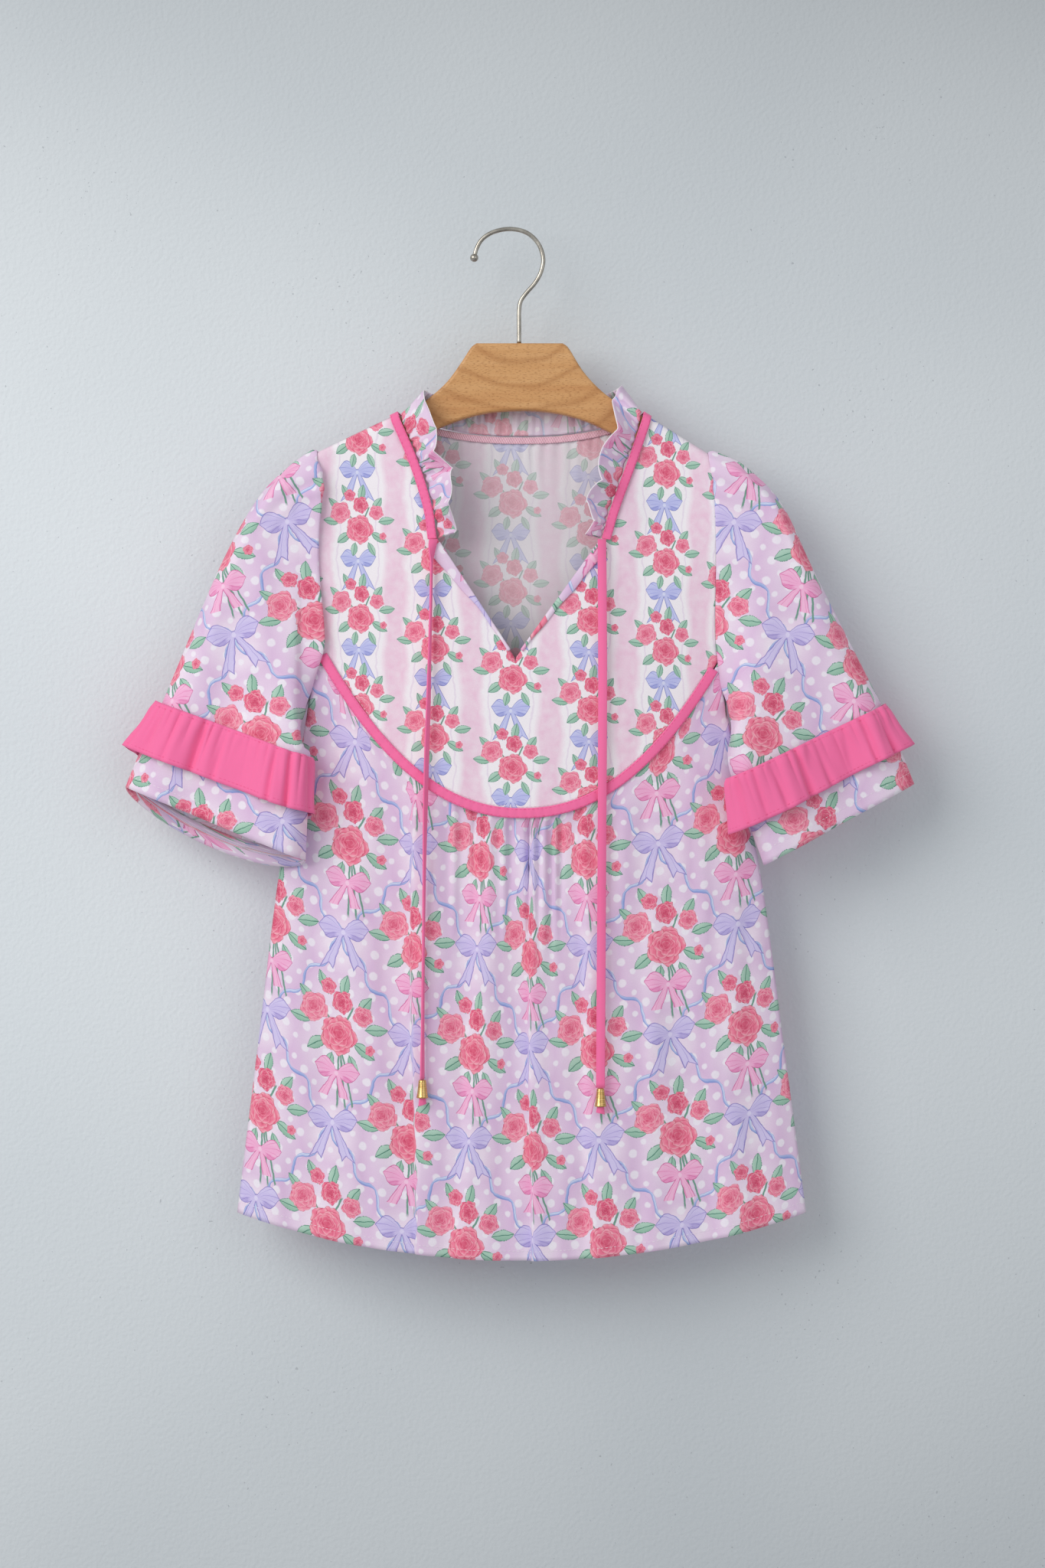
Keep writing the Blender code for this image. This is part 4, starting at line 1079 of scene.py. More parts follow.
front_top_rows = [0.0, 0.003, 0.008, 0.016, 0.03, 0.05, 0.08]
front_top_rows += spread(0.11, 1.0, 62)
halves = bmesh.new()
for side in ("left", "right"):
    inward = -OUT[side]
    tip_x = seam_meets_armhole(side, -1)[0]
    shoulder_x = getattr(BODY[1], side) + inward * SEAM
    neck_x = NECK_LEFT if side == "left" else NECK_RIGHT

    def top(u):
        x = mix(shoulder_x, neck_x, u)
        return x, ridge(x)

    def bottom(u):
        x = mix(tip_x + inward * SEAM, SLIT_X, u)
        return x, yoke_seam(x) + SEAM * math.hypot(1, yoke_slope(x))

    def armhole(v):
        z = mix(top(0)[1], bottom(0)[1], v)
        return along(BODY, side, z) + inward * SEAM, z

    def inner(v):
        z = mix(NECK_TOP, bottom(1)[1], v)
        return neck_edge(z, side), z

    def yoke_point(u, v):
        x, z = coons(top, bottom, armhole, inner, 1 - u if side == "right" else u, v)
        place = draped(x, z, -1)
        from_seam = (z - yoke_seam(x)) / math.hypot(1, yoke_slope(x))
        place.y += 0.28 * math.sin(x * 1.05 + 2 * math.sin(x * 0.21)) * math.exp(-from_seam / 5)
        return place

    half = grid_piece(
        "yoke_half", spread(0, 1, 56), front_top_rows, yoke_point, body_flat, [yoke_cotton], 0.0
    )
    halves.from_mesh(half.data)
    bpy.data.objects.remove(half, do_unlink=True)
bmesh.ops.remove_doubles(halves, verts=halves.verts, dist=1e-6)
front_yoke = finish_piece("yoke_front", halves, [yoke_cotton, yoke_wrong_side], WALL)
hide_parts("front_yoke")


def back_neck(x):
    """Height of the back neck edge."""
    middle, half = (NECK_LEFT + NECK_RIGHT) / 2, (NECK_RIGHT - NECK_LEFT) / 2
    return NECK_TOP - BACK_NECK_DROP * (1 - min(1, abs(x - middle) / half) ** 2.4)


def back_yoke_point(u, v):
    """Point of the back yoke, from the shoulder seams and the neck down to its straight seam."""
    left_x, right_x = BODY[1].left + SEAM, BODY[1].right - SEAM

    def top(u):
        x = mix(left_x, right_x, u)
        return x, back_neck(x) if NECK_LEFT < x < NECK_RIGHT else ridge(x)

    def bottom(u):
        left, right = sides_at(BACK_SEAM)
        return mix(left + SEAM, right - SEAM, u), BACK_SEAM + SEAM

    def left_edge(v):
        z = mix(top(0)[1], BACK_SEAM + SEAM, v)
        return along(BODY, "left", z) + SEAM, z

    def right_edge(v):
        z = mix(top(1)[1], BACK_SEAM + SEAM, v)
        return along(BODY, "right", z) - SEAM, z

    x, z = coons(top, bottom, left_edge, right_edge, u, v)
    place = draped(x, z, 1)
    below_neck = back_neck(x) - z
    if NECK_LEFT + 6 < x < NECK_RIGHT - 6 and below_neck >= 0:
        window = math.sin(math.pi * (x - NECK_LEFT - 6) / (NECK_RIGHT - NECK_LEFT - 12)) ** 0.5
        pucker = math.sin(x * 0.72 + 1.7 * math.sin(x * 0.09))
        place.y += 0.9 * pucker * window * math.exp(-below_neck / 22) * ease(below_neck / 3 + 0.2)
    return place


neck_start = (NECK_LEFT - BODY[1].left - SEAM) / (BODY[1].right - BODY[1].left - 2 * SEAM)
neck_end = (NECK_RIGHT - BODY[1].left - SEAM) / (BODY[1].right - BODY[1].left - 2 * SEAM)
near = [0.0, 0.004, 0.009, 0.016, 0.026]
back_top_columns = spread(0, neck_start, 16)[:-1] + [neck_start + step for step in near]
back_top_columns += spread(neck_start + 0.036, neck_end - 0.036, 90)
back_top_columns += [neck_end - step for step in reversed(near)] + spread(neck_end, 1, 14)[1:]
back_top_rows = [0.0, 0.004, 0.01, 0.02, 0.035, 0.055, 0.08] + spread(0.11, 1.0, 34)
back_yoke = grid_piece(
    "yoke_back", list(reversed(back_top_columns)), back_top_rows, back_yoke_point, body_flat,
    [yoke_cotton, yoke_wrong_side], WALL,
)
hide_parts("back_yoke")


# Hem threads: rows of lockstitch in white or pink polyester thread, which hold the hems and bindings,
# and the looped edge of pale pink overlocking. Each stitch is a short drop of thread on the cloth.
def thread(name, dark, light, roughness, sheen):
    """Twisted polyester thread."""
    material, shader, where = new_material(name)
    strand = speckle(where, 2600.0, 1.0)
    paint(shader, base_color=shade(strand, (0.3, dark), (0.7, light)))
    paint(shader, roughness=roughness, sheen_weight=sheen)
    return material


white_thread = thread("white_thread", "e9dfe8", "fffafc", 0.7, 0.2)
pink_thread = thread("pink_thread", "d93a78", "ff6fa8", 0.6, 0.0)
overlock, shader, where = new_material("overlocked_edge")
across, run = parts_of(scaled(cloth_place(overlock), 1000.0))
loops = abs(sine(grown(across, 0.5, run) * (math.pi / 1.6)))
paint(shader, base_color=shade(loops, (0.1, "c98fa4"), (0.5, "f3b3c6"), (0.9, "fcd3de")), roughness=0.75)
emboss(shader, loops, 0.3)
STITCH = 2.3
STITCH_GAP = 0.9
STITCH_RADIUS = 0.19
SEAM_CLOTH = 0.7


def stitch_line(name, points, material):
    """Row of stitches along points given closely enough to follow the cloth."""
    mesh = bmesh.new()
    walked, start = 0.0, points[0]
    for a, b in zip(points, points[1:]):
        walked += (b - a).length
        if walked < STITCH + STITCH_GAP:
            continue
        ahead = b - start
        lie = ahead.to_track_quat("Z", "Y").to_matrix().to_4x4()
        middle = start.lerp(b, 0.5) * MM
        size = Matrix.Diagonal((STITCH_RADIUS * MM, STITCH_RADIUS * MM, STITCH / 2 * MM, 1))
        bmesh.ops.create_uvsphere(
            mesh, u_segments=6, v_segments=4, radius=1.0, matrix=Matrix.Translation(middle) @ lie @ size
        )
        walked, start = 0.0, b
    for face in mesh.faces:
        face.smooth = True
    made = finish_piece(name, mesh, [material])
    return made


# Body below the yokes: one front and one back piece of light cotton with a rose trellis print. They
# are gathered into the middle of the yoke seams, hang in long soft folds and have a narrow sewn hem.
LATTICE_WIDTH = 126.0
LATTICE_HEIGHT = 151.0
RIBBON_SPACING = 96.7
rose_print, enter, leave = new_group("rose trellis print", [("Cloth", "Vector")], [("Colour", "Color")])
place = scaled(enter["Cloth"], 1000.0)
place = wandering(place, 0.16, 2.0, 2.0)
x, y = parts_of(place)
s = grown(y, 1 / LATTICE_HEIGHT, x / LATTICE_WIDTH)
t = grown(y, -1 / LATTICE_HEIGHT, x / LATTICE_WIDTH)
s_cross = wrap(s, 0.5, -0.5)
t_cross = wrap(t, 0.5, -0.5)
s_cell = calc("FRACT", s) - 0.5
t_cell = calc("FRACT", t) - 0.5


def lattice_place(along_s, along_t):
    """Millimetres from a lattice point, from the two slanted coordinates."""
    return vector_of((along_s + along_t) * (LATTICE_WIDTH / 2), (along_s - along_t) * (LATTICE_HEIGHT / 2))


at_cross = lattice_place(s_cross, t_cross)
at_cell = lattice_place(s_cell, t_cell)
ribbon_gap = ribbon_tone = None
for gap, run, sign in ((s_cross, t, 1), (t_cross, s, -1)):
    phase = run * (6 * math.pi)
    swing = sine(phase) * (3.8 * sign)
    turn = calc("COSINE", phase)
    width = grown(abs(turn), 0.85, 0.75)
    distance = grown(gap, RIBBON_SPACING, swing)
    share = abs(distance) / width
    tone = grown(distance / width, 0.22 * sign, 0.52)
    tone = grown(turn, 0.10, tone)
    if ribbon_gap is None:
        ribbon_gap, ribbon_tone = share, tone
    else:
        closer = calc("LESS_THAN", share, ribbon_gap)
        ribbon_tone = blend(closer, ribbon_tone, tone)
        ribbon_gap = least(share, ribbon_gap)
ribbon_share = rise(ribbon_gap, 1.06, 0.94)
ribbon_tone = ribbon_tone * rise(ribbon_gap, 1.1, 0.7)
ribbon_colour = shade(ribbon_tone, (0.0, "6f82c6"), (0.3, "8c9fda"), (0.5, "a8b8e8"), (0.72, "d9e2f8"))

grid_place = vector_of(x / (LATTICE_WIDTH / 7), y / (LATTICE_HEIGHT / 9))
dot_share = None
for shift, radius in ((0.0, 3.3), (0.5, 2.3)):
    local = placed(grid_place, (shift, shift))
    dx, dy = parts_of(local)
    dx = wrap(dx, 0.5, -0.5) * (LATTICE_WIDTH / 7)
    dy = wrap(dy, 0.5, -0.5) * (LATTICE_HEIGHT / 9)
    gap = length_of(vector_of(dx, dy))
    dot = rise(gap, radius + 0.5, radius - 0.5)
    dot_share = dot if dot_share is None else most(dot_share, dot)
bouquet_away = length_of(placed(at_cell, (0.0, 0.0), 0, (36.0, 54.0)))
cross_away = length_of(placed(at_cross, (0.0, -3.0), 0, (26.0, 28.0)))
halo = most(rise(bouquet_away, 1.20, 0.45), rise(cross_away, 1.20, 0.5))
wash = speckle(place, 0.05, 2.0)
halo = calc("MULTIPLY", halo, grown(wash, 0.8, 0.35), clamp=True)
ground = tint(halo, srgb("e2bfe2"), srgb("f9ecf7"))
colour = tint(dot_share * 0.85, ground, srgb("f8f2fa"))
colour = tint(ribbon_share, colour, ribbon_colour)
flowers = placed(at_cell, (-1.0, -1.0), 0, (16.5, 16.5))
bunch = use_group(bouquet, flowers, 1.0)
colour = tint(bunch["Inside"], colour, bunch["Colour"])
pink_bow = placed(at_cell, (1.0, -31.0), -4, (18.5, 19.0))
blue_bow = placed(at_cross, (0.0, 5.0), 3, (20.5, 20.5))
pink_gap = length_of(pink_bow)
is_pink = calc("LESS_THAN", pink_gap, length_of(blue_bow))
knot = use_group(bow, blend(is_pink, blue_bow, pink_bow, "VECTOR"))
blue = shade(knot["Tone"], (0.0, "7b70bb"), (0.36, "a596d6"), (0.62, "cdbfee"), (0.9, "e4dbf9"))
pink = shade(knot["Tone"], (0.0, "c2548f"), (0.36, "ea7cb6"), (0.62, "f9acd6"), (0.9, "fdcfe8"))
knot_colour = tint(is_pink, blue, pink)
colour = tint(knot["Inside"], colour, knot_colour)
join(colour, leave["Colour"])
rose_cotton = print_cotton("rose_cotton", rose_print, 0.0)
rose_wrong_side = print_cotton("rose_wrong_side", rose_print, 0.5)

HEM_ROWS = [0.0, 0.25, 0.5, 0.75, 1.0]
HEM_CLOTH = 0.5
HEM_LOW = -809.4
HEM_RISE = 35.4
BACK_HEM_LIFT = 3.0
Gather = namedtuple("Gather", "face centre width waves depth reach")
GATHERS = (
    Gather(-1, 1.0, 134.0, 13, 5.4, 0.40),
    Gather(1, 8.0, 110.0, 7, 1.8, 0.30),
)
Fold = namedtuple("Fold", "face top_x hem_x top_depth hem_depth steep gentle hidden")
FOLDS = (
    Fold(-1, 14.0, 14.0, 4.0, 6.5, 1.5, 22.0, 9.0),
    Fold(-1, -80.0, -76.0, 2.0, 5.0, 1.3, 24.0, 11.0),
    Fold(-1, -27.0, -46.0, 4.0, 3.0, 7.0, 16.0, 3.0),
    Fold(-1, 49.0, 58.0, 3.6, 4.0, 6.0, 16.0, 3.0),
    Fold(-1, 120.0, 150.0, 0.5, 3.5, 16.0, 20.0, 1.0),
    Fold(-1, -130.0, -165.0, 0.5, 3.0, 16.0, 18.0, 1.0),
    Fold(1, -38.0, -60.0, 2.0, 4.5, 6.0, 22.0, 3.0),
    Fold(1, 16.0, 22.0, 2.5, 5.0, 5.0, 24.0, 3.0),
    Fold(1, 70.0, 104.0, 1.5, 4.0, 8.0, 22.0, 2.0),
)
SHARP_FOLDS = [fold for fold in FOLDS if fold.steep < 3]


def on_face(rows, face):
    """Rows of a table that belong to the front or to the back."""
    return [row for row in rows if row.face == face]


def fold_line(fold, down):
    """Sideways place of a fold, which wanders a little on its way down."""
    return mix(fold.top_x, fold.hem_x, down) + 1.2 * math.sin(down * 7 + fold.top_x)


def fold_depth(face, x, down):
    """How far the gathers and folds push the cloth in at a place, down being 0 to 1."""
    push = 0.0
    for gather in on_face(GATHERS, face):
        share = (x - gather.centre) / gather.width + 0.5
        if 0 < share < 1:
            uneven = share + 0.018 * math.sin(17 * share + 1) + 0.010 * math.sin(41 * share)
            fade = (0.3 + 0.7 * ease(down / 0.035)) * (1 - ease(down / gather.reach))
            window = math.sin(math.pi * share) ** 0.5
            strength = 0.75 + 0.35 * math.sin(9 * share + 2)
            wave = (1 - math.cos(2 * math.pi * gather.waves * uneven)) / 2
            push += gather.depth * strength * fade * window * wave
    for fold in on_face(FOLDS, face):
        offset = x - fold_line(fold, down)
        width = fold.steep if offset > 0 else fold.gentle
        depth = mix(fold.top_depth, fold.hem_depth, down) * (0.25 + 0.75 * ease(down / 0.06))
        push += depth * math.exp(-((offset / width) ** 2))
        crest = (offset - 5 - fold.steep) / 9
        push -= 0.22 * depth * math.exp(-(crest**2))
    return push


def body_panel(name, face, columns, rows):
    """Body panel from the yoke seam and the armholes down to the hem."""
    joint = {side: seam_meets_armhole(side, face) for side in ("left", "right")}

    def top(u):
        x = mix(joint["left"][0] + SEAM, joint["right"][0] - SEAM, u)
        if face > 0:
            return x, BACK_SEAM + 1.2
        return x, yoke_seam(x) - SEAM * math.hypot(1, yoke_slope(x))

    def bottom(u):
        across = 2 * u - 1
        z = HEM_LOW + HEM_RISE * across**2 + (BACK_HEM_LIFT if face > 0 else 0)
        return mix(*sides_at(z), u), z

    def left_side(v):
        z = mix(top(0)[1], bottom(0)[1], v)
        return along(BODY, "left", z) + SEAM * (1 - armhole_share(z)), z

    def right_side(v):
        z = mix(top(1)[1], bottom(1)[1], v)
        return along(BODY, "right", z) - SEAM * (1 - armhole_share(z)), z

    def point(u, v):
        x, z = coons(top, bottom, left_side, right_side, u, v)
        for fold in on_face(SHARP_FOLDS, face):
            mean = (fold.top_x + fold.hem_x) / 2
            x += (fold_line(fold, v) - mean) * math.exp(-(((x - mean) / 30) ** 2))
        place = draped(x, z, face)
        room = min(1.0, abs(place.y) / 12)
        place.y -= face * fold_depth(face, x, v) * room
        sway = noise.noise(Vector((x / 27, z / 190, 5.0 * face)))
        sway += 0.4 * noise.noise(Vector((x / 12, z / 70, 1.0)))
        place.y += face * 2.5 * (sway - 0.3) * room * ease(v / 0.12)
        if face > 0:
            place.y -= min(1.1, abs(place.y) * 0.4) * ease((z - BACK_SEAM + 2) / 2)
        return place

    def flat(u, v, place):
        shift = side_turn(place.x, place.z, face)
        for fold in on_face(FOLDS, face):
            offset = (place.x - fold_line(fold, v)) / max(1.2, fold.steep)
            shift += fold.hidden * (ease(offset / 2.2) - 0.5) * ease(v / 0.05)
        spare = 0.5 + 0.5 * math.tanh((place.x - 4) / 40)
        shift += (mix(24.0, 0.0, v) if face < 0 else mix(16.0, 0.0, v)) * (2 * spare - 1)
        return place.x + shift - 25.3, place.z + 647 - 0.0007 * (place.x - 9) ** 2

    hem_columns = spread(0, 1, 110)
    if face > 0:
        columns, hem_columns = list(reversed(columns)), list(reversed(hem_columns))

    def turned_in(u, v):
        inner = point(u, mix(0.976, 0.998, v))
        inner.y -= face * min(0.85, abs(inner.y) * 0.3)
        return inner

    def proud(u):
        place = point(u, 0.979)
        return place + Vector((0, face * 0.5, 0))

    turned_hem = grid_piece(
        name + "_hem_turning", hem_columns, HEM_ROWS, turned_in, flat, [rose_cotton], HEM_CLOTH
    )
    hem_places = [proud(u) for u in spread(0.004, 0.996, 1200)]
    hem_stitches = stitch_line(name + "_hem_stitches", hem_places, white_thread)
    made = grid_piece(name, columns, rows, point, flat, [rose_cotton, rose_wrong_side], WALL)
    return made


def fold_columns(face, low, high, count):
    """Even columns with a close cluster at each sharp fold, by its mean place."""
    columns = spread(0, 1, count)
    for fold in on_face(SHARP_FOLDS, face):
        middle = ((fold.top_x + fold.hem_x) / 2 - low) / (high - low)
        columns += [middle + step * 0.0011 for step in range(-3, 7)]
    columns.sort()
    return [u for u, nearer in zip(columns, columns[1:] + [2.0]) if nearer - u > 0.0006]


front_lower = body_panel(
    "body_front", -1, fold_columns(-1, -202.0, 218.0, 230), spread(0, 0.16, 30)[:-1] + spread(0.16, 1.0, 90)
)
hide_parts("front_lower")
back_lower = body_panel(
    "body_back", 1, fold_columns(1, -202.0, 218.0, 150), spread(0, 0.16, 22)[:-1] + spread(0.16, 1.0, 60)
)
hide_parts("back_lower")


# Sleeves: short and flared, one tube each of the trellis print, gathered into the top of the armhole
# and sewn to the body there. The print leans with the sleeve and the hem hangs open below the ruffle.
Ring = namedtuple("Ring", "down outer_x outer_z inner_x inner_z bow front back forward droop")
SLEEVES = {
    "left": (
        Ring(0.00, -154.0, -176.0, -160.0, -377.0, 1.0, 12.0, 12.0, 0.0, 0.0),
        Ring(0.12, -172.0, -187.0, -165.0, -388.0, 4.0, 16.0, 13.0, 3.0, 0.0),
        Ring(0.30, -199.0, -212.0, -165.0, -399.0, 8.0, 19.0, 13.0, 9.5, 0.0),
        Ring(0.50, -229.0, -265.0, -162.0, -409.0, 5.0, 20.0, 12.0, 16.5, 0.0),
        Ring(0.70, -274.8, -372.6, -158.0, -416.0, 2.0, 20.0, 11.0, 22.0, 3.0),
        Ring(0.85, -291.0, -408.0, -160.0, -455.0, 0.0, 20.0, 11.0, 22.0, 12.0),
        Ring(1.00, -303.6, -438.6, -162.6, -495.6, 0.0, 20.0, 10.0, 21.0, 21.0),
    ),
    "right": (
        Ring(0.00, 157.0, -177.0, 170.0, -377.0, 1.0, 12.0, 12.0, 0.0, 0.0),
        Ring(0.12, 182.0, -187.0, 174.5, -388.0, 2.0, 16.0, 13.0, 3.0, 0.0),
        Ring(0.30, 213.0, -216.0, 174.0, -400.0, 2.0, 19.0, 13.0, 10.0, 0.0),
        Ring(0.50, 240.0, -271.0, 171.0, -413.0, 1.0, 20.0, 12.0, 17.0, 0.0),
        Ring(0.70, 292.2, -374.4, 173.5, -430.8, 0.0, 20.0, 11.0, 21.0, 0.0),
        Ring(0.85, 306.0, -406.0, 186.0, -466.0, 0.0, 20.0, 11.0, 19.0, -2.0),
        Ring(1.00, 318.0, -436.2, 197.4, -500.4, 0.0, 20.0, 10.0, 15.0, -5.0),
    ),
}
CAP_LAP = 1.9
SEAM_COVER = 1.9
OVERHANG = {"left": 9.0, "right": 1.5}
CAP_GATHERS = 7
CAP_SPAN = 0.17
CAP_DEPTH = 3.4
CAP_REACH = 0.22
PRINT_LEAN = {"left": -15.0, "right": 15.0}


def lifted(point, u, v, height, step=0.002):
    """Point of a surface moved out along its normal."""
    low, high = max(0.0, v - step), min(1.0, v + step)
    normal = (point(u + step, v) - point(u - step, v)).cross(point(u, high) - point(u, low))
    return point(u, v) + normal.normalized() * height


def sleeve_point(side, around, down):
    """Point of the plain sleeve. Around is 0 at the outer fold, 0.5 at the inner one, front first."""
    around %= 1.0
    rows = SLEEVES[side]
    out = OUT[side]
    face = -1 if around < 0.5 else 1
    share = (1 - math.cos(2 * math.pi * around)) / 2
    ring = Ring(down, *(along(rows, name, down) for name in Ring._fields[1:]))
    length = math.hypot(ring.outer_x - ring.inner_x, ring.outer_z - ring.inner_z)
    outer_roll = mix(4.0, 30.0, down)
    inner_roll = mix(30.0, 14.0, ease(down / 0.3))
    turned = roll(share * length / outer_roll) * roll((1 - share) * length / inner_roll)
    middle = math.sin(math.pi * share)
    bow = -out * ring.bow * middle if face < 0 else out * ring.bow * 0.4 * middle
    x = mix(ring.outer_x, ring.inner_x, share) + bow
    y = face * (ring.front if face < 0 else ring.back) * turned
    y -= ring.forward * ease((share - 0.3) / 0.6)
    z = mix(ring.outer_z, ring.inner_z, share) - (ring.droop * math.sqrt(middle) if face > 0 else 0)
    free = Vector((x, y, z))
    sewn = ease(down / 0.12)
    if sewn == 1:
        return free
    top = ridge(getattr(BODY[1], side))
    height = mix(top, UNDERARM, share)
    seam_x = along(BODY, side, height)
    at_seam = body_point(seam_x, height, face, CAP_LAP)
    at_seam.x += out * (SEAM + LAP * ease((share - 0.9) / 0.1) - SEAM_COVER * ease((1 - share) / 0.1))
    at_seam.y *= ease((1 - share) / 0.02)
    made = at_seam.lerp(free, sewn)
    if face < 0:
        bulge = math.exp(-(((down - 0.055) / 0.035) ** 2))
        bulge *= ease(share / 0.12) * ease((0.97 - share) / 0.25)
        bulge *= 0.8 + 0.3 * math.sin(share * 9 + 1)
        made.x -= out * OVERHANG[side] * bulge
        made.y -= 0.55 * OVERHANG[side] * bulge
    return made


def gathered_sleeve(side, around, down):
    """Point of the sleeve with the small gathers round its head and its soft hollows."""
    around %= 1.0
    reach = min(around, 1 - around)
    signed = around if around < 0.5 else around - 1
    outward = OUT[side]
    height = 0.0
    if reach < CAP_SPAN:
        window = math.cos(math.pi / 2 * reach / CAP_SPAN)
        fade = ease(down / 0.05) * math.exp(-((down / CAP_REACH) ** 2))
        uneven = signed / CAP_SPAN + 0.06 * math.sin(9 * signed / CAP_SPAN)
        wave = (1 - math.cos(math.pi * CAP_GATHERS * uneven)) / 2
        height = CAP_DEPTH * window * fade * wave
    plain = sleeve_point(side, around, down)
    hang = Vector((plain.x / 26, plain.z / 75, 2.0 + around))
    height += 2.6 * ease(down / 0.15) * noise.noise(hang) * ease(reach / 0.05)
    return lifted(lambda u, v: sleeve_point(side, u, v), around, down, outward * height)


for side in ("left", "right"):
    lean = math.radians(PRINT_LEAN[side])
    outward = OUT[side]

    def sleeve_flat(around, down, place):
        """Place in the cut: the front as it is seen, and the back unfolded round the outer fold."""
        fold_at = sleeve_point(side, 0.0, down)
        ahead, behind = (sleeve_point(side, 0.0, at) for at in (min(1.0, down + 0.02), max(0.0, down - 0.02)))
        run = ahead - behind
        run = Vector((run.x, run.z)).normalized()
        beyond = Vector((-run.y, run.x)) * -outward
        beyond = beyond if beyond.x * outward > 0 else -beyond
        from_fold = Vector((place.x - fold_at.x, place.z - fold_at.z))
        turned = 1 - min(1.0, abs(place.y) / 20)
        if around % 1.0 > 0.5:
            from_fold -= beyond * 2 * from_fold.dot(beyond)
            from_fold += beyond * (11 + 6 * (1 - turned))
        else:
            from_fold += beyond * 11 * turned * math.exp(-max(0.0, -from_fold.dot(beyond)) / 25)
        x, z = fold_at.x + from_fold.x + outward * 30, fold_at.z + from_fold.y + 24
        return x * math.cos(lean) - z * math.sin(lean), x * math.sin(lean) + z * math.cos(lean)

    head = spread(0, CAP_SPAN, 34) + spread(CAP_SPAN, 0.5, 34)[1:]
    round_sleeve = [1 - u for u in reversed(head)] + [1 + u for u in head[1:]]
    if side == "right":
        round_sleeve.reverse()
    made = grid_piece(
        "sleeve_tube_" + side, round_sleeve, spread(0, 0.2, 20)[:-1] + spread(0.2, 1.0, 46),
        lambda u, v: gathered_sleeve(side, u, v), sleeve_flat, [rose_cotton, rose_wrong_side], WALL, True,
    )
    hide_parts("sleeve_" + side)
    all_round = spread(0, 1, 140)
    if side == "left":
        all_round.reverse()

    def inside_sleeve(u, v, depth):
        return lifted(lambda a, b: gathered_sleeve(side, a, b), u, v, -outward * depth, 0.004)

    turned_hem = grid_piece(
        "sleeve_hem_turning_" + side, all_round, HEM_ROWS,
        lambda u, v: inside_sleeve(u, mix(0.950, 0.998, v), 0.85), sleeve_flat, [rose_cotton], HEM_CLOTH,
        True,
    )
    hem_places = [inside_sleeve(u, 0.955, -0.5) for u in spread(0, 1, 800)]
    hem_stitches = stitch_line("sleeve_hem_stitches_" + side, hem_places, white_thread)
    seam_columns = HEM_ROWS if side == "right" else HEM_ROWS[::-1]
    overlocked = grid_piece(
        "sleeve_overlock_" + side, seam_columns, spread(0.30, 0.945, 60),
        lambda u, v: inside_sleeve(mix(0.487, 0.513, u), v, 0.95), lambda u, v, place: (u * 5, v * 330),
        [overlock], SEAM_CLOTH,
    )


# Sleeve ruffles: plain pink bands, cut almost twice as long as the sleeve is wide, gathered and sewn
# on above the sleeve's hem. They flare at the folds and have a narrow stitched hem.
RUFFLE_SEAM = 0.70
RUFFLE_END = 0.866
RUFFLE_LAP = 2.2
RUFFLE_WAVES = 19
RUFFLE_GATHERS = 39
RUFFLE_FLARE = 2.2
RUFFLE_OUTER_FLARE = 5.5
RUFFLE_INNER_FLARE = {"left": 2.2, "right": 13.0}
trim_wrong_side = cotton("trim_wrong_side", lambda place: srgb("ef6a9c"), 0.9, 0.85, 0.1)


def ruffle_point(side, around, drop, lift=0.0):
    """Point of a sleeve ruffle, drop being 0 at its seam and 1 at its hem."""
    outward = OUT[side]
    down = mix(RUFFLE_SEAM, RUFFLE_END, drop)
    share = (1 - math.cos(2 * math.pi * around)) / 2
    tight = 1.0 if around < 0.5 else mix(1.0, 0.2, ease((share - 0.25) / 0.4))
    at_outer = math.exp(-((min(around, 1 - around) / 0.05) ** 2))
    at_inner = math.exp(-(((around - 0.5) / 0.045) ** 2)) * (1.0 if around < 0.5 else 0.6)
    flare = RUFFLE_FLARE * tight + RUFFLE_OUTER_FLARE * at_outer + RUFFLE_INNER_FLARE[side] * at_inner
    key = 1.0 if side == "left" else 2.4
    uneven = around + 0.006 * math.sin(12.566 * around + key) + 0.004 * math.sin(43.98 * around + 3 * key)
    nearest = (RUFFLE_WAVES * uneven) % 1.0 - 0.5
    key_fold = round(RUFFLE_WAVES * uneven - nearest - 0.5)
    length = 0.55 + 0.55 * abs(math.sin(key_fold * 2.3 + key))
    valley = math.exp(-((nearest / (0.13 if nearest > 0 else 0.20)) ** 2))
    big = 1 - valley * (1 - ease((drop - length) / 0.35))
    shifted = around + 0.004 * math.sin(56.5 * around + key)
    small = abs(math.sin(math.pi * RUFFLE_GATHERS * shifted)) ** 0.6
    deep = 0.70 + 0.40 * math.sin(31.4 * around + 2 * key)
    reach = 0.42 + 0.20 * math.sin(69.1 * around + 5 * key) + 0.12 * math.sin(150.8 * around + key)
    height = RUFFLE_LAP + drop * flare + lift
    height += tight * deep * big * mix(2.4, 4.6, ease(drop))
    height += tight * 1.6 * drop * math.sin(math.pi * RUFFLE_WAVES * uneven)
    gathers = math.exp(-((drop / reach) ** 2)) * (0.45 + 0.55 * ease(drop / 0.12))
    height += tight * (0.7 + 0.5 * deep) * small * 2.2 * gathers
    return lifted(lambda u, v: sleeve_point(side, u, v), around, down, outward * height)


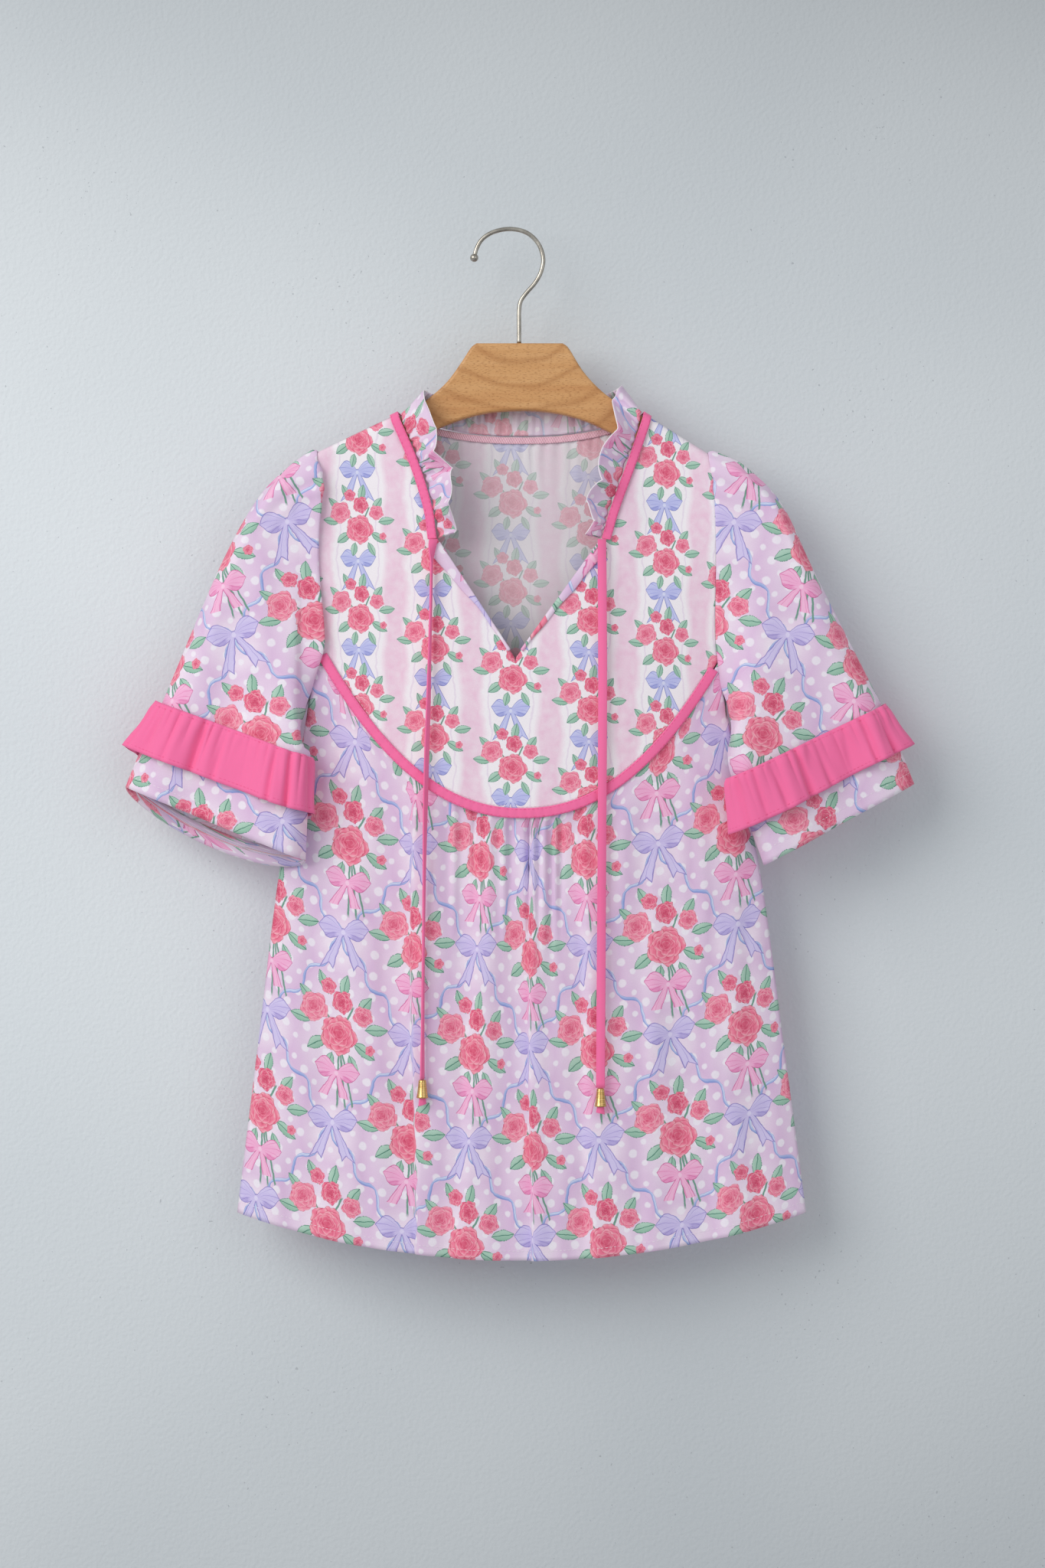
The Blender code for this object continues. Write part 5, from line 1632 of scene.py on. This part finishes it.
for side in ("left", "right"):
    columns = spread(0, 1, RUFFLE_GATHERS * 11)
    if side == "right":
        columns.reverse()
    made = grid_piece(
        "ruffle_band_" + side, columns, [0.0, 0.03, 0.07, 0.12, 0.2, 0.3, 0.42, 0.55, 0.7, 0.85, 0.94, 1.0],
        lambda u, v: ruffle_point(side, u, v), lambda u, v, place: (u * 560, -v * 40),
        [trim_pink, trim_wrong_side], WALL, True,
    )
    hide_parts("sleeve_ruffle_" + side)
    rows = []
    for name, drop in (("hem", 0.91), ("seam", 0.05)):
        places = [ruffle_point(side, u, drop, 0.5) for u in spread(0, 1, 800)]
        rows.append(stitch_line("ruffle_%s_stitches_%s" % (name, side), places, pink_thread))
    "sleeve_tube_" + side


# Slit facings: the printed facing of the slit, cut from the trellis print. It is turned out along
# both edges of the slit and pressed flat on the yoke.
FACING_WIDTH = {"left": 10.0, "right": 8.0}
FACING_REACH = {"left": 0.75, "right": 1.0}
for side in ("left", "right"):
    out = OUT[side]
    slit_end = Vector((SLIT_X, SLIT_POINT))
    slit_start = Vector((getattr(NECK[-1], side), SLIT_TOP))
    run = (slit_end - slit_start).normalized()
    away_from_slit = Vector((out * abs(run.y), -abs(run.x)))

    def facing_point(down, across):
        edge = slit_start.lerp(slit_end, mix(0.03, 0.93, down))
        taper = mix(FACING_WIDTH[side], 1.6, ease(down / FACING_REACH[side]))
        reach = mix(-0.6, taper, across) + 0.4 * math.sin(down * 19) * across
        place = draped(edge.x + away_from_slit.x * reach, edge.y + away_from_slit.y * reach, -1, LAP)
        place.y += 0.9 * (across - 0.35) ** 2 - 0.5 * math.sin(math.pi * across)
        return place

    columns = spread(0, 1, 60)
    if side == "right":
        columns.reverse()
    made = grid_piece(
        "facing_strip_" + side, columns, spread(0, 1, 10), facing_point,
        lambda u, v, place: (place.x * 0.9 + place.z * 0.3 + out * 21, place.z + v * 4),
        [rose_cotton, rose_wrong_side], WALL,
    )
    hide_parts("slit_facing_" + side)


# Neck binding: a pink bias strip with both edges folded under. It covers the neck seam from one tie
# round the back to the other, and two rows of pink stitches hold it on the yokes.
BINDING_LAP = 2.0
BINDING_WIDTH = 7.0
FRONT_SHARE = 0.3
NeckPlace = namedtuple("NeckPlace", "x z away_x away_z face")


def neck_place(at):
    """Place on the neck seam, from the left end of the binding (0) round the back to the right end (1).

    Away is the direction that leads from the neck opening into the cloth.
    """
    side = "left" if at < 0.5 else "right"
    out = OUT[side]
    share = min(at, 1 - at) / FRONT_SHARE
    slope = LEFT_SHOULDER_SLOPE if side == "left" else RIGHT_SHOULDER_SLOPE
    shoulder_away = Vector((out, -slope)).normalized()
    if share < 1:
        z = mix(SLIT_TOP, NECK_TOP, share)
        x = neck_edge(z, side)
        lean = neck_edge(min(NECK_TOP, z + 4), side) - neck_edge(max(SLIT_TOP, z - 4), side)
        front_away = Vector((out, -out * lean / 8)).normalized()
        away = front_away.lerp(shoulder_away, ease((share - 0.8) / 0.2)).normalized()
        return NeckPlace(x, z, away.x, away.y, -1)
    across = (at - FRONT_SHARE) / (1 - 2 * FRONT_SHARE)
    x = mix(NECK_LEFT, NECK_RIGHT, across)
    turn = ease(min(across, 1 - across) / 0.12)
    away = shoulder_away.lerp(Vector((0, -1)), turn).normalized()
    return NeckPlace(x, back_neck(x), away.x, away.y, 1)


def binding_point(at, across, lift=0.0):
    """Point of the neck binding: its two edges are rolled under and its middle stands a little."""
    place = neck_place(at)
    reach = mix(0.1, BINDING_WIDTH, across)
    x, z = place.x + place.away_x * reach, place.z + place.away_z * reach
    puff = 0.45 * math.sin(math.pi * across) ** 0.5 + 0.12 * math.sin(at * 420)
    made = body_point(x, min(z, ridge(x)), place.face, BINDING_LAP + lift)
    made.y += place.face * puff * min(1.0, abs(made.y) / 8)
    return made


shoulder = [-0.025, -0.014, -0.008, -0.004, -0.0015, -0.0005, 0, 0.001, 0.0035, 0.008, 0.017]
half = spread(0, FRONT_SHARE - 0.04, 90) + [FRONT_SHARE + step for step in shoulder]
half += spread(FRONT_SHARE + 0.03, 0.5, 50)
round_neck = half + [1 - at for at in reversed(half[:-1])]
neck_binding = grid_piece(
    "neck_bias_binding", round_neck, spread(0, 1, 8), binding_point, lambda u, v, place: (u * 560, -v * 7),
    [trim_pink], WALL,
)
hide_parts("neck_binding")
round_back = [at for at in spread(0.004, 0.996, 1400) if abs(min(at, 1 - at) - FRONT_SHARE) > 0.004]
rows = []
for name, across in (("inner", 0.12), ("outer", 0.88)):
    places = [binding_point(at, across, 0.5) for at in round_back]
    rows.append(stitch_line("binding_stitches_" + name, places, pink_thread))


# Back neck seam inside: the raw edges of the back yoke, frill and binding, overlocked together in
# pale pink thread. The seam allowance lies flat against the inside of the back yoke.
def inside_neck(u, v):
    """Point of the overlocked seam allowance, which lies flat against the inside of the back yoke."""
    place = neck_place(mix(FRONT_SHARE + 0.006, 1 - FRONT_SHARE - 0.006, u))
    x, z = place.x + place.away_x * mix(0.4, 5.6, v), place.z + place.away_z * mix(0.4, 5.6, v)
    made = draped(x, min(z, ridge(x)), 1, -1.6)
    made.y += 0.25 * math.sin(x * 0.72)
    return made


neck_overlock = grid_piece(
    "neck_overlock", spread(0, 1, 120), spread(0, 1, 5), inside_neck, lambda u, v, place: (v * 5, u * 220),
    [overlock], SEAM_CLOTH,
)


# Neck ruffle: a gathered strip of the trellis print that stands up out of the neck seam and flops
# over at the front. Its free edge is rolled and overcast with fine white thread.
FRONT_FLOPS = 3.0
BACK_PLEATS = 25
NECK_HEIGHT = 26.0
NECK_LEAN_IN = 0.66
NECK_LEAN_OUT = 0.7


def frill_base(at, up):
    """Point of the neck ruffle before its waves."""
    place = neck_place(min(1.0, max(0.0, at)))
    side = -1 if at < 0.5 else 1
    share = min(at, 1 - at) / FRONT_SHARE
    base = body_point(place.x, place.z, place.face)
    front_lean = Vector((-place.away_x * NECK_LEAN_IN, -NECK_LEAN_OUT, -place.away_z * NECK_LEAN_IN + 0.1))
    shoulder_lean = Vector((-side * 0.66, 0.0, 0.75))
    back_lean = Vector((0.0, 0.2, 0.98))
    if share < 1:
        lean = front_lean.lerp(shoulder_lean, ease((share - 0.72) / 0.28))
    else:
        across = (at - FRONT_SHARE) / (1 - 2 * FRONT_SHARE)
        lean = shoulder_lean.lerp(back_lean, ease(min(across, 1 - across) / 0.3))
    lean.normalize()
    height = NECK_HEIGHT * (0.5 + 0.5 * ease(share / 0.35))
    near_shoulder = math.exp(-(((share - 1) / 0.05) ** 2))
    start = Vector((-place.away_x, 0, -place.away_z)) * (1.1 + 1.6 * near_shoulder)
    return base + start + lean * mix(0.0, height, up)


def frill_point(at, up):
    """Point of the neck ruffle: tight gathers at the seam, loose uneven waves at its edge."""
    at = min(0.998, max(0.002, at))
    uneven = at + 0.010 * math.sin(25.1 * at + 1) + 0.0045 * math.sin(69.1 * at + 2)
    front = min(uneven, FRONT_SHARE) + max(0.0, uneven - 1 + FRONT_SHARE)
    back = min(max(uneven - FRONT_SHARE, 0.0), 1 - 2 * FRONT_SHARE)
    phase = 2 * math.pi * (FRONT_FLOPS / FRONT_SHARE * front + BACK_PLEATS / (1 - 2 * FRONT_SHARE) * back)
    at_back = ease((min(at, 1 - at) - FRONT_SHARE + 0.02) / 0.04)
    small = math.sin(phase * 4.3 + 2) * math.exp(-((up / 0.5) ** 2)) * (1 - at_back)
    deep = 0.85 + 0.35 * math.sin(44 * at + 0.5)
    height = math.sin(phase) * deep * mix(mix(0.6, 6.6, ease(up * 0.9 + 0.1)), mix(0.6, 2.2, up), at_back)
    made = lifted(frill_base, at, up, height + 0.9 * small)
    run = (frill_base(min(0.998, at + 0.004), up) - frill_base(max(0.002, at - 0.004), up)).normalized()
    sideways = 2 * math.sin(2 * phase) + 2.2 * noise.noise(Vector((at * 31, up, 9.0)))
    made += run * up * sideways * (1 - 0.7 * at_back)
    flop = noise.noise(Vector((at * 23, up * 1.5, 4.0)))
    made.z += 4.0 * flop * up**2 * (1 - 0.6 * at_back)
    return made


def frill_flat(at, up, place):
    """Place in the cut of the neck ruffle, which is about a third longer than the neck seam."""
    return at * 600 + 35, up * 27 + 20


turns = [corner + step for corner in (FRONT_SHARE, 1 - FRONT_SHARE) for step in (-0.003, 0.003)]
frill_columns = sorted(spread(0, 1, 520) + turns)
neck_ruffle = grid_piece(
    "neck_frill", frill_columns, spread(0, 1, 14), frill_point, frill_flat,
    [rose_cotton, rose_wrong_side], WALL,
)
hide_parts("neck_ruffle")


# Yoke band: a pink bias strip with both edges turned under. It is sewn over the front yoke seam with
# two rows of pink stitches, and a row of white ones runs along the yoke above it.
BAND_WIDTH = 7.8


def band_point(across, down, lift=0.0):
    """Point of the yoke band, down being 0 at its upper edge and 1 at its lower one."""
    left, right = seam_meets_armhole("left", -1)[0] + 6.0, seam_meets_armhole("right", -1)[0] - 5.0
    x = mix(left, right, across)
    slope = yoke_slope(x)
    offset = (0.5 - down) * BAND_WIDTH / math.hypot(1, slope)
    made = draped(x - slope * offset, yoke_seam(x) + offset, -1, LAP + lift)
    made.y -= 0.4 * max(0.0, math.sin(math.pi * down)) ** 0.5 + 0.15 * math.sin(x * 0.9)
    return made


yoke_band = grid_piece(
    "yoke_bias_band", spread(0, 1, 260), spread(0, 1, 8), band_point, lambda u, v, place: (u * 420, -v * 8),
    [trim_pink], WALL,
)
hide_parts("yoke_band")
around_yoke = spread(0.005, 0.995, 900)
rows = [
    stitch_line(name, [band_point(u, down, lift) for u in around_yoke], thread)
    for name, down, lift, thread in (
        ("yoke_edge_stitches", -0.14, -0.62, white_thread), ("yoke_band_stitches", 0.14, 0.45, pink_thread),
        ("yoke_band_low_stitches", 0.88, 0.45, pink_thread),
    )
]


# Rolled edge of the neck ruffle: fine white thread, overcast along its free edge. It is made last
# because it follows the finished waves of the ruffle.
edge_curve = bpy.data.curves.new("neck_frill_edge", "CURVE")
edge_curve.dimensions = "3D"
edge_curve.bevel_depth = 0.42 * MM
edge_curve.bevel_resolution = 1
edge_curve.use_fill_caps = True
spline = edge_curve.splines.new("POLY")
spline.points.add(len(frill_columns) - 1)
for spot, at in zip(spline.points, frill_columns):
    spot.co = (*(frill_point(at, 1.0) * MM), 1)
edge_curve.materials.append(white_thread)
frill_edge = bpy.data.objects.new("neck_frill_edge", edge_curve)
bpy.context.scene.collection.objects.link(frill_edge)
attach(frill_edge, "root")
